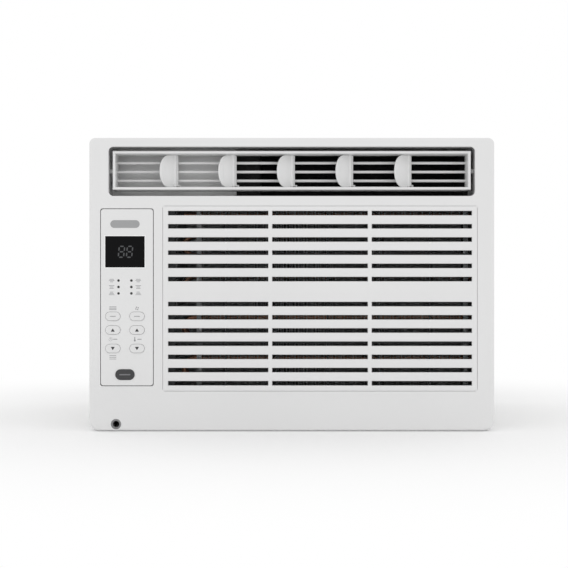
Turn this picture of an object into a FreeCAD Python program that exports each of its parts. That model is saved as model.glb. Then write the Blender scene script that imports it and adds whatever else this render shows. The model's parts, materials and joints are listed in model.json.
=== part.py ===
import FreeCAD, Part
import math
import os

# Window air conditioner, in millimetres.
# Origin: centre of the footprint, on the surface it stands on.
# +X is to the right as seen by the user, +Y points outdoors, +Z is up.

V = FreeCAD.Vector
X_AXIS = V(1, 0, 0)
Y_AXIS = V(0, 1, 0)
Z_AXIS = V(0, 0, 1)

# ---- overall size ----
WIDTH = 470.0
HEIGHT = 340.0
DEPTH = 400.0

# ---- fits ----
RUN_FIT = 0.05
LOOSE = 0.3
PANEL_GAP = 0.4
FASCIA_SEAM = 0.8
SLIDE_GAP = 0.5

# ---- front panel ----
BUTTON_PROUD = 1.0
PANEL_DEPTH = 52.0
PANEL_WALL = 2.5
PANEL_BOTTOM_RADIUS = 13.0
PANEL_TOP_RADIUS = 7.0
PANEL_EDGE = 3.0
PANEL_OVERLAP = 12.0
FRONT = BUTTON_PROUD - DEPTH / 2
REAR = DEPTH / 2
PANEL_BACK = FRONT + PANEL_DEPTH
PANEL_INSIDE = FRONT + PANEL_WALL

# ---- cabinet and base pan ----
SIDE_STEP = 6.0
SHEET = 1.0
CABINET_BEND = 6.0
CABINET_BOTTOM = 12.0
REAR_LIP = 12.0
CABINET_X = WIDTH / 2 - SIDE_STEP
CABINET_TOP = HEIGHT - SIDE_STEP
CABINET_FRONT = PANEL_BACK - PANEL_OVERLAP
PAN_SHEET = 1.2
FOOT_HEIGHT = 3.0
PAN_FLANGE = 26.0
PAN_BEND = 8.0
PAN_SETBACK = 22.0
PAN_X = CABINET_X - SHEET - LOOSE
PAN_FLOOR = FOOT_HEIGHT + PAN_SHEET
PAN_FRONT = FRONT + PAN_SETBACK
PAN_REAR = REAR - SHEET - LOOSE

# ---- air outlet and deflector ----
VENT_SIDE = 22.5
VENT_TOP = HEIGHT - 10.3
VENT_HEIGHT = 57.3
VENT_RADIUS = 6.0
VENT_X = WIDTH / 2 - VENT_SIDE
VENT_BOTTOM = VENT_TOP - VENT_HEIGHT
LINER_WALL = 2.0
LEFT_WALL_SETBACK = 45.5
DUCT_LEFT = -68.0
DEFLECTOR_X = VENT_X - 4.5
DEFLECTOR_HALF = 22.6
DEFLECTOR_Z = VENT_TOP - 27.2
DEFLECTOR_FRONT = FRONT + 4.0
DEFLECTOR_DEPTH = 32.0
DEFLECTOR_Y = DEFLECTOR_FRONT + DEFLECTOR_DEPTH / 2
SLAT_THICK = 3.2
SLAT_DEPTH = 9.0
SLAT_COUNT = 3
RAIL_THICK = 3.2
END_PLATE = 3.0
PIVOT_RADIUS = 3.0

# ---- turning vanes ----
VANE_COUNT = 5
VANE_PITCH = 68.5
VANE_LAST = DEFLECTOR_X - 70.9
VANE_SETBACK = 21.5
VANE_CHORD = 20.0
VANE_TAIL = 4.0
VANE_THICK = 1.8
VANE_CORNER = 8.0
VANE_ANGLE = -60.0
VANE_PIN = 1.5
CRANK = 7.5
CRANK_PIN = 1.2
CRANK_LEAD = 20.0
ARM_THICK = 1.7
LINK_THICK = 1.6
LINK_WIDTH = 4.0
VANE_Y = FRONT + VANE_SETBACK
VANE_TOP = DEFLECTOR_Z + DEFLECTOR_HALF - RAIL_THICK - LOOSE
VANE_BOTTOM = DEFLECTOR_Z - DEFLECTOR_HALF + RAIL_THICK + LOOSE
ARM_Z = VANE_BOTTOM + LINK_THICK + LOOSE
VANE_FIRST = VANE_LAST - (VANE_COUNT - 1) * VANE_PITCH

# ---- intake grille ----
GRILLE_LEFT = 85.2
GRILLE_RIGHT = 19.7
GRILLE_TOP = HEIGHT - 79.0
GRILLE_BOTTOM = 46.0
GRILLE_THICK = 3.0
GRILLE_CORNER = 3.0
GRILLE_LEDGE = 6.0
SLOT_HEIGHT = 5.2
UPPER_SLOTS = 6
LOWER_SLOTS = 7
SLOT_TOP = HEIGHT - 87.4
SLOT_BOTTOM = 55.3
PLAIN_BAR_PITCH = 29.0
SLOT_SIDE = 6.4
SLOT_RIB = 4.6
SLOT_MIDDLE = 110.8
GRILLE_X0 = GRILLE_LEFT - WIDTH / 2
GRILLE_X1 = WIDTH / 2 - GRILLE_RIGHT
SLOT_PITCH = (SLOT_TOP - SLOT_BOTTOM - PLAIN_BAR_PITCH) / (UPPER_SLOTS + LOWER_SLOTS - 2)

# ---- control column ----
FASCIA_LEFT = 13.0
FASCIA_WIDTH = 62.0
FASCIA_THICK = 2.5
FASCIA_CORNER = 3.0
FASCIA_X0 = FASCIA_LEFT - WIDTH / 2
FASCIA_X1 = FASCIA_X0 + FASCIA_WIDTH
FASCIA_X = FASCIA_X0 + 28.7
FASCIA_TOP = HEIGHT - 82.0
FASCIA_BOTTOM = 52.0
FASCIA_SPAN = FASCIA_TOP - FASCIA_BOTTOM
BUTTON_COLUMN = 14.0
BUTTON_LENGTH = 17.0
BUTTON_HEIGHT = 10.0
BUTTON_TRAVEL = 1.5
BUTTON_GAP = 0.3
BUTTON_FLANGE = 1.2
POWER_LENGTH = 22.0
POWER_HEIGHT = 12.0
DISPLAY_WIDTH = 45.9
DISPLAY_HEIGHT = 36.5
DISPLAY_THICK = 1.6
LED_RADIUS = 1.5
LED_COLUMN = 7.45
LED_PITCH = 7.45
LED_ROWS = 3
BADGE_WIDTH = 34.0
BADGE_HEIGHT = 9.0
SWITCH_SIDE = 6.0
SWITCH_BODY = 4.0
BOARD_THICK = 1.6
BOARD_MARGIN = 4.0
STEM_LENGTH = 5.6
BADGE_Z = FASCIA_TOP - 0.088 * FASCIA_SPAN
DISPLAY_Z = FASCIA_TOP - 0.244 * FASCIA_SPAN
LED_Z = FASCIA_TOP - 0.442 * FASCIA_SPAN
MODE_Z = FASCIA_TOP - 0.607 * FASCIA_SPAN
UP_Z = FASCIA_TOP - 0.684 * FASCIA_SPAN
DOWN_Z = FASCIA_TOP - 0.788 * FASCIA_SPAN
POWER_Z = FASCIA_TOP - 0.935 * FASCIA_SPAN
FASCIA_BACK = FRONT + FASCIA_THICK
STEM_END = FASCIA_BACK + BUTTON_FLANGE + STEM_LENGTH
SWITCH_FRONT = STEM_END + BUTTON_TRAVEL + 0.1
BOARD_FRONT = SWITCH_FRONT + SWITCH_BODY
BOARD_BACK = BOARD_FRONT + BOARD_THICK

# ---- mains lead gland ----
GLAND_X = 31.3 - WIDTH / 2
GLAND_Z = 8.0
GLAND_RADIUS = 6.0
GLAND_BORE = 3.8
GLAND_LENGTH = 10.0

# ---- air filter ----
FILTER_THICK = 4.0
FILTER_SETBACK = 8.0
FILTER_RIM = 8.0
FILTER_BAR = 2.0
FILTER_MARGIN = 3.0
MESH_THICK = 0.8
FILTER_Y0 = FRONT + FILTER_SETBACK
FILTER_Y1 = FILTER_Y0 + FILTER_THICK
FILTER_X0 = GRILLE_X0 + GRILLE_LEDGE
FILTER_X1 = WIDTH / 2 - 1.0
FILTER_Z0 = GRILLE_BOTTOM - FILTER_MARGIN
FILTER_Z1 = GRILLE_TOP + FILTER_MARGIN

# ---- evaporator ----
EVAP_SETBACK = 27.0
EVAP_DEPTH = 32.0
EVAP_X0 = -112.0
EVAP_END_ROOM = 14.88
EVAP_Z0 = 22.0
EVAP_TOP_GAP = 8.0
EVAP_ROWS = 10
TUBE_RADIUS = 3.5
FIN_THICK = 0.8
EVAP_FIN_PITCH = 8.0
END_SHEET = 1.5
END_FLANGE = 6.0
EVAP_Y0 = FRONT + EVAP_SETBACK
EVAP_Y1 = EVAP_Y0 + EVAP_DEPTH
EVAP_Z1 = VENT_BOTTOM - EVAP_TOP_GAP
EVAP_PITCH = (EVAP_Z1 - EVAP_Z0) / EVAP_ROWS
EVAP_X1 = WIDTH / 2 - EVAP_END_ROOM - EVAP_PITCH / 2
EVAPORATOR = (EVAP_X0, EVAP_X1, EVAP_Y0, EVAP_Y1, EVAP_Z0, EVAP_Z1)

# ---- blower ----
SCROLL_GAP = 4.0
SCROLL_DEPTH = 106.0
SCROLL_WALL = 6.0
SCROLL_X0 = -74.0
SCROLL_X1 = WIDTH / 2 - 21.0
SCROLL_Z0 = 14.0
WHEEL_RADIUS = 86.0
WHEEL_DEPTH = 62.0
WHEEL_BLADES = 30
WHEEL_BLADE_DEPTH = 14.0
WHEEL_GAP = 10.0
INLET_RADIUS = 76.0
FAN_X = (SCROLL_X0 + SCROLL_X1) / 2
FAN_Z = SCROLL_Z0 + SCROLL_WALL + WHEEL_RADIUS + WHEEL_GAP + 22.0
SCROLL_Y0 = EVAP_Y1 + SCROLL_GAP
SCROLL_Y1 = SCROLL_Y0 + SCROLL_DEPTH
WHEEL_Y0 = SCROLL_Y0 + SCROLL_WALL + 12.0
WHEEL_Y1 = WHEEL_Y0 + WHEEL_DEPTH

# ---- bulkhead and fan motor ----
BULKHEAD_GAP = 3.0
MOTOR_RADIUS = 48.0
MOTOR_LENGTH = 62.0
MOTOR_GAP = 16.0
SHAFT_RADIUS = 4.0
SHAFT_NOSE = 4.0
BRACKET_ARM = 8.0
BULKHEAD_Y = SCROLL_Y1 + BULKHEAD_GAP
MOTOR_Y0 = BULKHEAD_Y + SHEET + MOTOR_GAP
MOTOR_Y1 = MOTOR_Y0 + MOTOR_LENGTH

# ---- condenser side ----
COND_SETBACK = 18.0
COND_DEPTH = 36.0
COND_SIDE = 30.0
COND_Z0 = 14.0
COND_TOP = 22.0
COND_ROWS = 12
COND_FIN_PITCH = 10.0
COND_Y1 = REAR - COND_SETBACK
COND_Y0 = COND_Y1 - COND_DEPTH
COND_X0 = COND_SIDE - WIDTH / 2
COND_X1 = WIDTH / 2 - COND_SIDE
COND_Z1 = HEIGHT - COND_TOP
FAN_RADIUS = 114.0
FAN_BLADES = 5
CONDENSER = (COND_X0, COND_X1, COND_Y0, COND_Y1, COND_Z0, COND_Z1)
FAN_HUB = 20.0
FAN_DEPTH = 30.0
SLINGER = 4.0
SHROUD_GAP = 6.0
SHROUD_THICK = 2.0
SHROUD_COLLAR = 26.0
SHROUD_Y = COND_Y0 - 2.0
FAN_Y1 = SHROUD_Y - 6.0
FAN_Y0 = FAN_Y1 - FAN_DEPTH
SHAFT_Y0 = WHEEL_Y0 + 10.0
SHAFT_Y1 = FAN_Y1 + SHAFT_NOSE

# ---- compressor ----
COMP_RADIUS = 54.0
COMP_HEIGHT = 200.0
COMP_DOME = 26.0
COMP_WALL = 4.0
COMP_CORE = 36.0
COMP_X = -142.0
COMP_Y = BULKHEAD_Y + 66.0
COMP_FOOT = 12.0
COMP_STUD = 2.5
GROMMET_RADIUS = 7.0
GROMMET_HEIGHT = 13.0
COMP_Z0 = PAN_FLOOR + COMP_FOOT
PIPE_RADIUS = 4.0
CAPILLARY_RADIUS = 1.2
ACCUMULATOR_RADIUS = 18.0
ACCUMULATOR_HEIGHT = 90.0

# ---- outdoor grilles and fasteners ----
GUARD_WIRE = 1.4
GUARD_PITCH = 14.0
LOUVRE_COUNT = 12
LOUVRE_PITCH = 9.0
LOUVRE_WIDTH = 4.0
LOUVRE_HEIGHT = 70.0
SCREW_RADIUS = 1.9
SCREW_HEAD = 3.8
SCREW_HEAD_THICK = 2.0
RAIL_HOLE = 2.1
RAIL_SPACING = 380.0
CURTAIN_SPACING = 220.0
DRAIN_RADIUS = 6.0
DRAIN_COLLAR = 5.0


# ---- drawing helpers ----
def box(x0, x1, y0, y1, z0, z1):
    return Part.makeBox(x1 - x0, y1 - y0, z1 - z0, V(x0, y0, z0))


def rod(radius, start, end):
    run = end - start
    return Part.makeCylinder(radius, run.Length, start, run)


def rod_y(radius, x, z, y0, y1):
    return rod(radius, V(x, y0, z), V(x, y1, z))


def rod_z(radius, x, y, z0, z1):
    return rod(radius, V(x, y, z0), V(x, y, z1))


def ring_y(outer, inner, x, z, y0, y1):
    return rod_y(outer, x, z, y0, y1).cut(rod_y(inner, x, z, y0 - 1, y1 + 1))


def fuse(shapes):
    if len(shapes) == 1:
        return shapes[0]
    return shapes[0].multiFuse(shapes[1:]).removeSplitter()


def group(shapes):
    return Part.makeCompound(shapes)


def drill(body, tools):
    return body.cut(tools)


def corner_arc(cx, cz, radius, start, y):
    middle = start + 45
    points = []
    for angle in (start, middle, start + 90):
        turn = math.radians(angle)
        points.append(V(cx + radius * math.cos(turn), y, cz + radius * math.sin(turn)))
    return points


def slab(x0, x1, y0, y1, z0, z1, radii):
    """Plate along Y; radii run bottom left, bottom right, top right, top left."""
    places = ((x0, z0, 1, 1, 180), (x1, z0, -1, 1, 270), (x1, z1, -1, -1, 0), (x0, z1, 1, -1, 90))
    edges = []
    first = None
    last = None
    for (cx, cz, sx, sz, start), radius in zip(places, radii):
        if radius > 0:
            arc = corner_arc(cx + sx * radius, cz + sz * radius, radius, start, y0)
        else:
            arc = [V(cx, y0, cz)]
        if last is None:
            first = arc[0]
        else:
            edges.append(Part.makeLine(last, arc[0]))
        if radius > 0:
            edges.append(Part.Arc(arc[0], arc[1], arc[2]).toShape())
        last = arc[-1]
    edges.append(Part.makeLine(last, first))
    face = Part.Face(Part.Wire(edges))
    return face.extrude(V(0, y1 - y0, 0))


def even_slab(x0, x1, y0, y1, z0, z1, radius):
    return slab(x0, x1, y0, y1, z0, z1, (radius, radius, radius, radius))


def front_edges(shape, y):
    picked = []
    for edge in shape.Edges:
        box_of = edge.BoundBox
        if abs(box_of.YMin - y) < 0.01 and abs(box_of.YMax - y) < 0.01:
            picked.append(edge)
    return picked


def tube(points, radius, bend):
    """Round bar along straight runs joined by arcs that are tangent to both."""
    edges = []
    here = points[0]
    for index in range(1, len(points) - 1):
        corner = points[index]
        before = (corner - points[index - 1]).normalize()
        after = (points[index + 1] - corner).normalize()
        half = before.getAngle(after) / 2
        reach = bend * math.tan(half)
        start = corner - before * reach
        end = corner + after * reach
        middle_way = (after - before).normalize()
        centre = corner + middle_way * (bend / math.cos(half))
        crest = centre - middle_way * bend
        if (start - here).Length > 0.01:
            edges.append(Part.makeLine(here, start))
        edges.append(Part.Arc(start, crest, end).toShape())
        here = end
    edges.append(Part.makeLine(here, points[-1]))
    circle = Part.Edge(Part.Circle(points[0], points[1] - points[0], radius))
    return Part.Wire(edges).makePipeShell([Part.Wire([circle])], True, False)


def save(name, shape):
    shape.exportStep("parts/" + name + ".step")
    print(name, len(shape.Solids), round(shape.Volume), shape.isValid())


# ---- front panel group ----
def front_panel():
    radii = (PANEL_BOTTOM_RADIUS, PANEL_BOTTOM_RADIUS, PANEL_TOP_RADIUS, PANEL_TOP_RADIUS)
    inner = [radius - PANEL_WALL for radius in radii]
    side = WIDTH / 2
    shell = slab(-side, side, FRONT, PANEL_BACK, 0, HEIGHT, radii)
    shell = shell.makeFillet(PANEL_EDGE, front_edges(shell, FRONT))
    wall = PANEL_WALL
    hollow = slab(wall - side, side - wall, PANEL_INSIDE, PANEL_BACK + 1, wall, HEIGHT - wall, inner)
    vent = even_slab(-VENT_X, VENT_X, FRONT - 1, PANEL_INSIDE + 1, VENT_BOTTOM, VENT_TOP, VENT_RADIUS)
    intake = even_slab(GRILLE_X0, GRILLE_X1, FRONT - 1, PANEL_INSIDE + 1, GRILLE_BOTTOM, GRILLE_TOP,
                       GRILLE_CORNER)
    controls = even_slab(FASCIA_X0, FASCIA_X1, FRONT - 1, PANEL_INSIDE + 1, FASCIA_BOTTOM, FASCIA_TOP,
                         FASCIA_CORNER)
    gland = rod_y(GLAND_RADIUS, GLAND_X, GLAND_Z, FRONT - 1, FRONT + GLAND_LENGTH + 2)
    slot = box(side - wall - 1, side + 1, FILTER_Y0 - SLIDE_GAP, FILTER_Y1 + SLIDE_GAP,
               FILTER_Z0 - SLIDE_GAP, FILTER_Z1 + SLIDE_GAP)
    shell = drill(shell, [hollow, vent, intake, controls, gland, slot])
    shell = fuse([shell] + panel_pads())
    return drill(shell, panel_screw_recesses())


def panel_screw_places():
    y = (CABINET_FRONT + PANEL_BACK) / 2 - 0.5
    return [(side, y, z) for side in (-1, 1) for z in (GRILLE_BOTTOM, VENT_BOTTOM + 20.0)]


def panel_pads():
    pads = []
    for side, y, z in panel_screw_places():
        start = V(side * CABINET_X, y, z)
        end = V(side * (WIDTH / 2 - PANEL_WALL + 0.5), y, z)
        pads.append(rod(SCREW_HEAD + 1.6, start, end))
    return [pad.common(box(-WIDTH, WIDTH, -DEPTH, PANEL_BACK, 0, HEIGHT)) for pad in pads]


def panel_screw_recesses():
    cuts = []
    for side, y, z in panel_screw_places():
        outside = V(side * (WIDTH / 2 + 1), y, z)
        floor = V(side * (WIDTH / 2 - SCREW_HEAD_THICK - 0.5), y, z)
        cuts.append(rod(SCREW_HEAD + 0.4, outside, floor))
        cuts.append(rod(SCREW_RADIUS, outside, V(side * (CABINET_X - 1), y, z)))
    return cuts


def panel_screws():
    screws = []
    for side, y, z in panel_screw_places():
        under = V(side * (WIDTH / 2 - SCREW_HEAD_THICK - 0.5), y, z)
        top = V(side * (WIDTH / 2 - 0.5), y, z)
        tip = V(side * (CABINET_X - SHEET - 1), y, z)
        head = rod(SCREW_HEAD, under, top)
        cross = SCREW_HEAD * 0.6
        outer = side * (WIDTH / 2)
        floor = side * (WIDTH / 2 - 1.5)
        low, high = min(outer, floor), max(outer, floor)
        cuts = [box(low, high, y - cross, y + cross, z - 0.4, z + 0.4),
                box(low, high, y - 0.4, y + 0.4, z - cross, z + cross)]
        screws.append(drill(fuse([head, rod(SCREW_RADIUS, tip, under)]), cuts))
    return group(screws)


def slot_rows():
    rows = [SLOT_TOP - SLOT_PITCH * k for k in range(UPPER_SLOTS)]
    return rows + [SLOT_BOTTOM + SLOT_PITCH * k for k in range(LOWER_SLOTS)]


def slot_columns():
    left = GRILLE_X0 + SLOT_SIDE
    right = GRILLE_X1 - SLOT_SIDE
    side = (right - left - SLOT_MIDDLE - 2 * SLOT_RIB) / 2
    middle = left + side + SLOT_RIB
    return [(left, left + side), (middle, middle + SLOT_MIDDLE), (right - side, right)]


def intake_grille():
    gap = PANEL_GAP / 2
    plate = even_slab(GRILLE_X0 + gap, GRILLE_X1 - gap, FRONT, PANEL_INSIDE + GRILLE_THICK - PANEL_WALL,
                      GRILLE_BOTTOM + gap, GRILLE_TOP - gap, GRILLE_CORNER)
    rim = even_slab(GRILLE_X0 - GRILLE_LEDGE / 2, GRILLE_X1 + GRILLE_LEDGE / 2, PANEL_INSIDE,
                    PANEL_INSIDE + 1.5,
                    GRILLE_BOTTOM - GRILLE_LEDGE / 2, GRILLE_TOP + GRILLE_LEDGE / 2, GRILLE_CORNER)
    half = SLOT_HEIGHT / 2
    cuts = []
    for x0, x1 in slot_columns():
        for z in slot_rows():
            cuts.append(box(x0, x1, FRONT - 1, PANEL_INSIDE + 3, z - half, z + half))
    return drill(fuse([plate, rim]), cuts)


def outlet_liner():
    """Duct behind the outlet, with a wall close behind its blind left part."""
    x = VENT_X + LINER_WALL
    wall = LINER_WALL
    z0, z1 = VENT_BOTTOM - wall, VENT_TOP + wall
    tube_body = box(-x, x, PANEL_INSIDE, SCROLL_Y0, z0, z1)
    tube_body = tube_body.cut(box(-VENT_X, VENT_X, PANEL_INSIDE - 1, SCROLL_Y0 + 1, VENT_BOTTOM, VENT_TOP))
    back_y = FRONT + LEFT_WALL_SETBACK
    blind = box(-VENT_X, DUCT_LEFT, back_y, back_y + wall, VENT_BOTTOM, VENT_TOP)
    divider = box(DUCT_LEFT, DUCT_LEFT + wall, back_y - 2, SCROLL_Y0, VENT_BOTTOM, VENT_TOP)
    bosses = [rod(PIVOT_RADIUS + 2, V(side * x, DEFLECTOR_Y, DEFLECTOR_Z),
                  V(side * (x + 3), DEFLECTOR_Y, DEFLECTOR_Z)) for side in (-1, 1)]
    body = fuse([tube_body, blind, divider] + bosses)
    return drill(body, [rod(PIVOT_RADIUS, V(-x - 4, DEFLECTOR_Y, DEFLECTOR_Z),
                            V(x + 4, DEFLECTOR_Y, DEFLECTOR_Z))])


def vane_places():
    return [VANE_FIRST + VANE_PITCH * k for k in range(VANE_COUNT)]


def crank_place(x):
    turn = math.radians(90 + CRANK_LEAD + VANE_ANGLE)
    return x + CRANK * math.cos(turn), VANE_Y + CRANK * math.sin(turn)


def deflector_frame():
    back = DEFLECTOR_FRONT + DEFLECTOR_DEPTH
    top = DEFLECTOR_Z + DEFLECTOR_HALF
    bottom = DEFLECTOR_Z - DEFLECTOR_HALF
    x = DEFLECTOR_X
    pieces = [box(-x, x, DEFLECTOR_FRONT, back, top - RAIL_THICK, top),
              box(-x, x, DEFLECTOR_FRONT, back, bottom, bottom + RAIL_THICK),
              box(-x, END_PLATE - x, DEFLECTOR_FRONT, back, bottom, top),
              box(x - END_PLATE, x, DEFLECTOR_FRONT, back, bottom, top)]
    frame = fuse(pieces)
    frame = frame.makeFillet(1.4, [e for e in frame.Edges if is_long_corner(e, bottom, top, back)])
    pitch = (2 * DEFLECTOR_HALF - RAIL_THICK) / (SLAT_COUNT + 1)
    slats = []
    for k in range(SLAT_COUNT):
        z = bottom + RAIL_THICK / 2 + pitch * (k + 1)
        slats.append(box(END_PLATE - x, x - END_PLATE, back - SLAT_DEPTH, back, z - SLAT_THICK / 2,
                         z + SLAT_THICK / 2))
    pins = [rod(PIVOT_RADIUS - RUN_FIT, V(side * (x - 1), DEFLECTOR_Y, DEFLECTOR_Z),
                V(side * (VENT_X + LINER_WALL + 2), DEFLECTOR_Y, DEFLECTOR_Z)) for side in (-1, 1)]
    holes = [rod_z(VANE_PIN, place, VANE_Y, bottom - 1, top + 1) for place in vane_places()]
    return drill(fuse([frame] + slats + pins), holes)


def is_long_corner(edge, bottom, top, back):
    b = edge.BoundBox
    along_x = b.XLength > 2 * DEFLECTOR_X - 1
    at_z = min(abs(b.ZMin - bottom), abs(b.ZMin - top)) < 0.01
    at_y = min(abs(b.YMin - DEFLECTOR_FRONT), abs(b.YMin - back)) < 0.01
    return along_x and at_z and at_y and b.ZLength < 0.01


def vane(x):
    """Upright blade with a rounded finger lobe, a short tail and a crank arm."""
    half = VANE_THICK / 2
    lobe = slab(-VANE_CHORD, 0, -half, half, VANE_BOTTOM, VANE_TOP, (VANE_CORNER, 0, 0, VANE_CORNER))
    tail = box(0, VANE_TAIL, -half, half, ARM_Z, VANE_TOP)
    hub = rod_z(VANE_PIN + 0.6, 0, 0, ARM_Z, VANE_TOP)
    pin = rod_z(VANE_PIN - RUN_FIT, 0, 0, VANE_BOTTOM - LOOSE - RAIL_THICK + 0.2,
                VANE_TOP + LOOSE + RAIL_THICK - 0.2)
    blade = fuse([lobe, tail, hub, pin])
    blade.rotate(V(0, 0, 0), Z_AXIS, 90 + VANE_ANGLE)
    blade.translate(V(x, VANE_Y, 0))
    cx, cy = crank_place(x)
    arm_run = V(cx - x, cy - VANE_Y, 0)
    arm = Part.makeBox(CRANK, 2 * CRANK_PIN + 0.8, ARM_THICK, V(0, -CRANK_PIN - 0.4, ARM_Z))
    arm.rotate(V(0, 0, 0), Z_AXIS, math.degrees(math.atan2(arm_run.y, arm_run.x)))
    arm.translate(V(x, VANE_Y, 0))
    end = rod_z(CRANK_PIN + 0.4, cx, cy, ARM_Z, ARM_Z + ARM_THICK)
    crank = rod_z(CRANK_PIN, cx, cy, VANE_BOTTOM, ARM_Z + 0.5)
    return fuse([blade, arm, end, crank])


def vane_link_bar():
    places = [crank_place(x) for x in vane_places()]
    y = places[0][1]
    half = LINK_WIDTH / 2
    bar = box(places[0][0], places[-1][0], y - half, y + half, VANE_BOTTOM, VANE_BOTTOM + LINK_THICK)
    ends = [rod_z(half, px, y, VANE_BOTTOM, VANE_BOTTOM + LINK_THICK) for px, _ in (places[0], places[-1])]
    holes = []
    for index, (px, py) in enumerate(places):
        clearance = RUN_FIT if index == 0 else LOOSE
        holes.append(rod_z(CRANK_PIN + clearance, px, py, VANE_BOTTOM - 1, VANE_BOTTOM + LINK_THICK + 1))
    return drill(fuse([bar] + ends), holes)


# ---- control column group ----
def button_places():
    """Name, x, z, cap length and cap height of every button."""
    left = FASCIA_X - BUTTON_COLUMN
    right = FASCIA_X + BUTTON_COLUMN
    size = (BUTTON_LENGTH, BUTTON_HEIGHT)
    return [("mode_button", left, MODE_Z) + size,
            ("fan_button", right, MODE_Z) + size,
            ("timer_up_button", left, UP_Z) + size,
            ("temp_up_button", right, UP_Z) + size,
            ("timer_down_button", left, DOWN_Z) + size,
            ("temp_down_button", right, DOWN_Z) + size,
            ("power_button", FASCIA_X, POWER_Z, POWER_LENGTH, POWER_HEIGHT)]


def pill(x, z, length, height, y0, y1):
    radius = min(length, height) / 2 - 0.01
    return even_slab(x - length / 2, x + length / 2, y0, y1, z - height / 2, z + height / 2, radius)


def led_places():
    places = []
    for row in range(LED_ROWS):
        for side in (-1, 1):
            places.append((FASCIA_X + side * LED_COLUMN, LED_Z + LED_PITCH * (1 - row)))
    return places


def board_posts():
    xs = (FASCIA_X0 + BOARD_MARGIN + 3, FASCIA_X1 - BOARD_MARGIN - 3)
    zs = (FASCIA_BOTTOM + BOARD_MARGIN + 3, FASCIA_TOP - BOARD_MARGIN - 3)
    return [(x, z) for x in xs for z in zs]


def control_fascia():
    gap = FASCIA_SEAM
    plate = even_slab(FASCIA_X0 + gap, FASCIA_X1 - gap, FRONT, FASCIA_BACK,
                      FASCIA_BOTTOM + gap, FASCIA_TOP - gap, FASCIA_CORNER)
    posts = [rod_y(3.0, x, z, FASCIA_BACK - 0.5, BOARD_FRONT) for x, z in board_posts()]
    cuts = [rod_y(1.2, x, z, FASCIA_BACK + 3, BOARD_FRONT + 1) for x, z in board_posts()]
    for _, x, z, length, height in button_places():
        grown = 2 * BUTTON_GAP
        cuts.append(pill(x, z, length + grown, height + grown, FRONT - 1, FASCIA_BACK + 1))
    dx = DISPLAY_WIDTH / 2
    dz = DISPLAY_HEIGHT / 2
    cuts.append(box(FASCIA_X - dx, FASCIA_X + dx, FRONT - 1, FRONT + DISPLAY_THICK, DISPLAY_Z - dz,
                    DISPLAY_Z + dz))
    cuts.append(box(FASCIA_X - dx + 3, FASCIA_X + dx - 3, FRONT, FASCIA_BACK + 1, DISPLAY_Z - dz + 3,
                    DISPLAY_Z + dz - 3))
    cuts += [rod_y(LED_RADIUS, x, z, FRONT - 1, FASCIA_BACK + 1) for x, z in led_places()]
    cuts.append(badge_slab(0))
    return drill(fuse([plate] + posts), cuts)


def badge_slab(gap):
    half_x = BADGE_WIDTH / 2 - gap
    half_z = BADGE_HEIGHT / 2 - gap
    return even_slab(FASCIA_X - half_x, FASCIA_X + half_x, FRONT, FRONT + 0.8,
                     BADGE_Z - half_z, BADGE_Z + half_z, half_z - 0.01)


def display_window():
    gap = PANEL_GAP / 4
    dx = DISPLAY_WIDTH / 2 - gap
    dz = DISPLAY_HEIGHT / 2 - gap
    return box(FASCIA_X - dx, FASCIA_X + dx, FRONT, FRONT + DISPLAY_THICK, DISPLAY_Z - dz, DISPLAY_Z + dz)


def display_module():
    dx = DISPLAY_WIDTH / 2 - 4
    dz = DISPLAY_HEIGHT / 2 - 4
    return box(FASCIA_X - dx, FASCIA_X + dx, FASCIA_BACK + 0.3, BOARD_FRONT, DISPLAY_Z - dz, DISPLAY_Z + dz)


def indicator_lenses():
    lenses = []
    for x, z in led_places():
        lens = rod_y(LED_RADIUS - 0.05, x, z, FRONT, FASCIA_BACK)
        lamp = rod_y(LED_RADIUS + 0.6, x, z, FASCIA_BACK, BOARD_FRONT)
        lenses.append(fuse([lens, lamp]))
    return group(lenses)


def button(x, z, length, height):
    """Cap, retaining flange and stem, all in one moulding."""
    cap = pill(x, z, length, height, -DEPTH / 2, FASCIA_BACK + 0.6)
    cap = cap.makeFillet(0.6, front_edges(cap, -DEPTH / 2))
    flange = box(x - length / 2 - 1.5, x + length / 2 + 1.5, FASCIA_BACK + 0.1, FASCIA_BACK + BUTTON_FLANGE,
                 z - height / 2 - 1, z + height / 2 + 1)
    stem = rod_y(2.0, x, z, FASCIA_BACK, STEM_END)
    return fuse([cap, flange, stem])


def tact_switches():
    half = SWITCH_SIDE / 2
    switches = []
    for _, x, z, _, _ in button_places():
        body = box(x - half, x + half, SWITCH_FRONT + 1, BOARD_FRONT, z - half, z + half)
        switches.append(fuse([body, rod_y(1.6, x, z, SWITCH_FRONT, SWITCH_FRONT + 1.5)]))
    return group(switches)


def control_board():
    m = BOARD_MARGIN
    board = box(FASCIA_X0 + m, FASCIA_X1 - m, BOARD_FRONT, BOARD_BACK, FASCIA_BOTTOM + m, FASCIA_TOP - m)
    return drill(board, [rod_y(1.4, x, z, BOARD_FRONT - 1, BOARD_BACK + 1) for x, z in board_posts()])


def control_box_span():
    x0 = -PAN_X + LOOSE + 1
    x1 = EVAP_X0 - coil_reach(EVAP_Z0, EVAP_Z1, EVAP_ROWS) - TUBE_RADIUS - 4.0
    y0 = BOARD_BACK + 10.0
    y1 = BULKHEAD_Y - 6.0
    z0 = FASCIA_BOTTOM + 0.45 * FASCIA_SPAN
    return x0, x1, y0, y1, z0, VENT_BOTTOM - LINER_WALL - 3.0


def control_box():
    x0, x1, y0, y1, z0, z1 = control_box_span()
    t = SHEET
    tray = box(x0, x1, y0, y1, z0, z1).cut(box(x0 + t, x1 - t, y0 + t, y1 - t, z0 + t, z1 + t))
    wire_hole = rod_y(6, (x0 + x1) / 2, z0 + 12, y0 - 1, y0 + 2)
    return drill(tray, [wire_hole])


def control_box_cover():
    x0, x1, y0, y1, _, z1 = control_box_span()
    return box(x0, x1, y0, y1, z1, z1 + SHEET)


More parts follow.
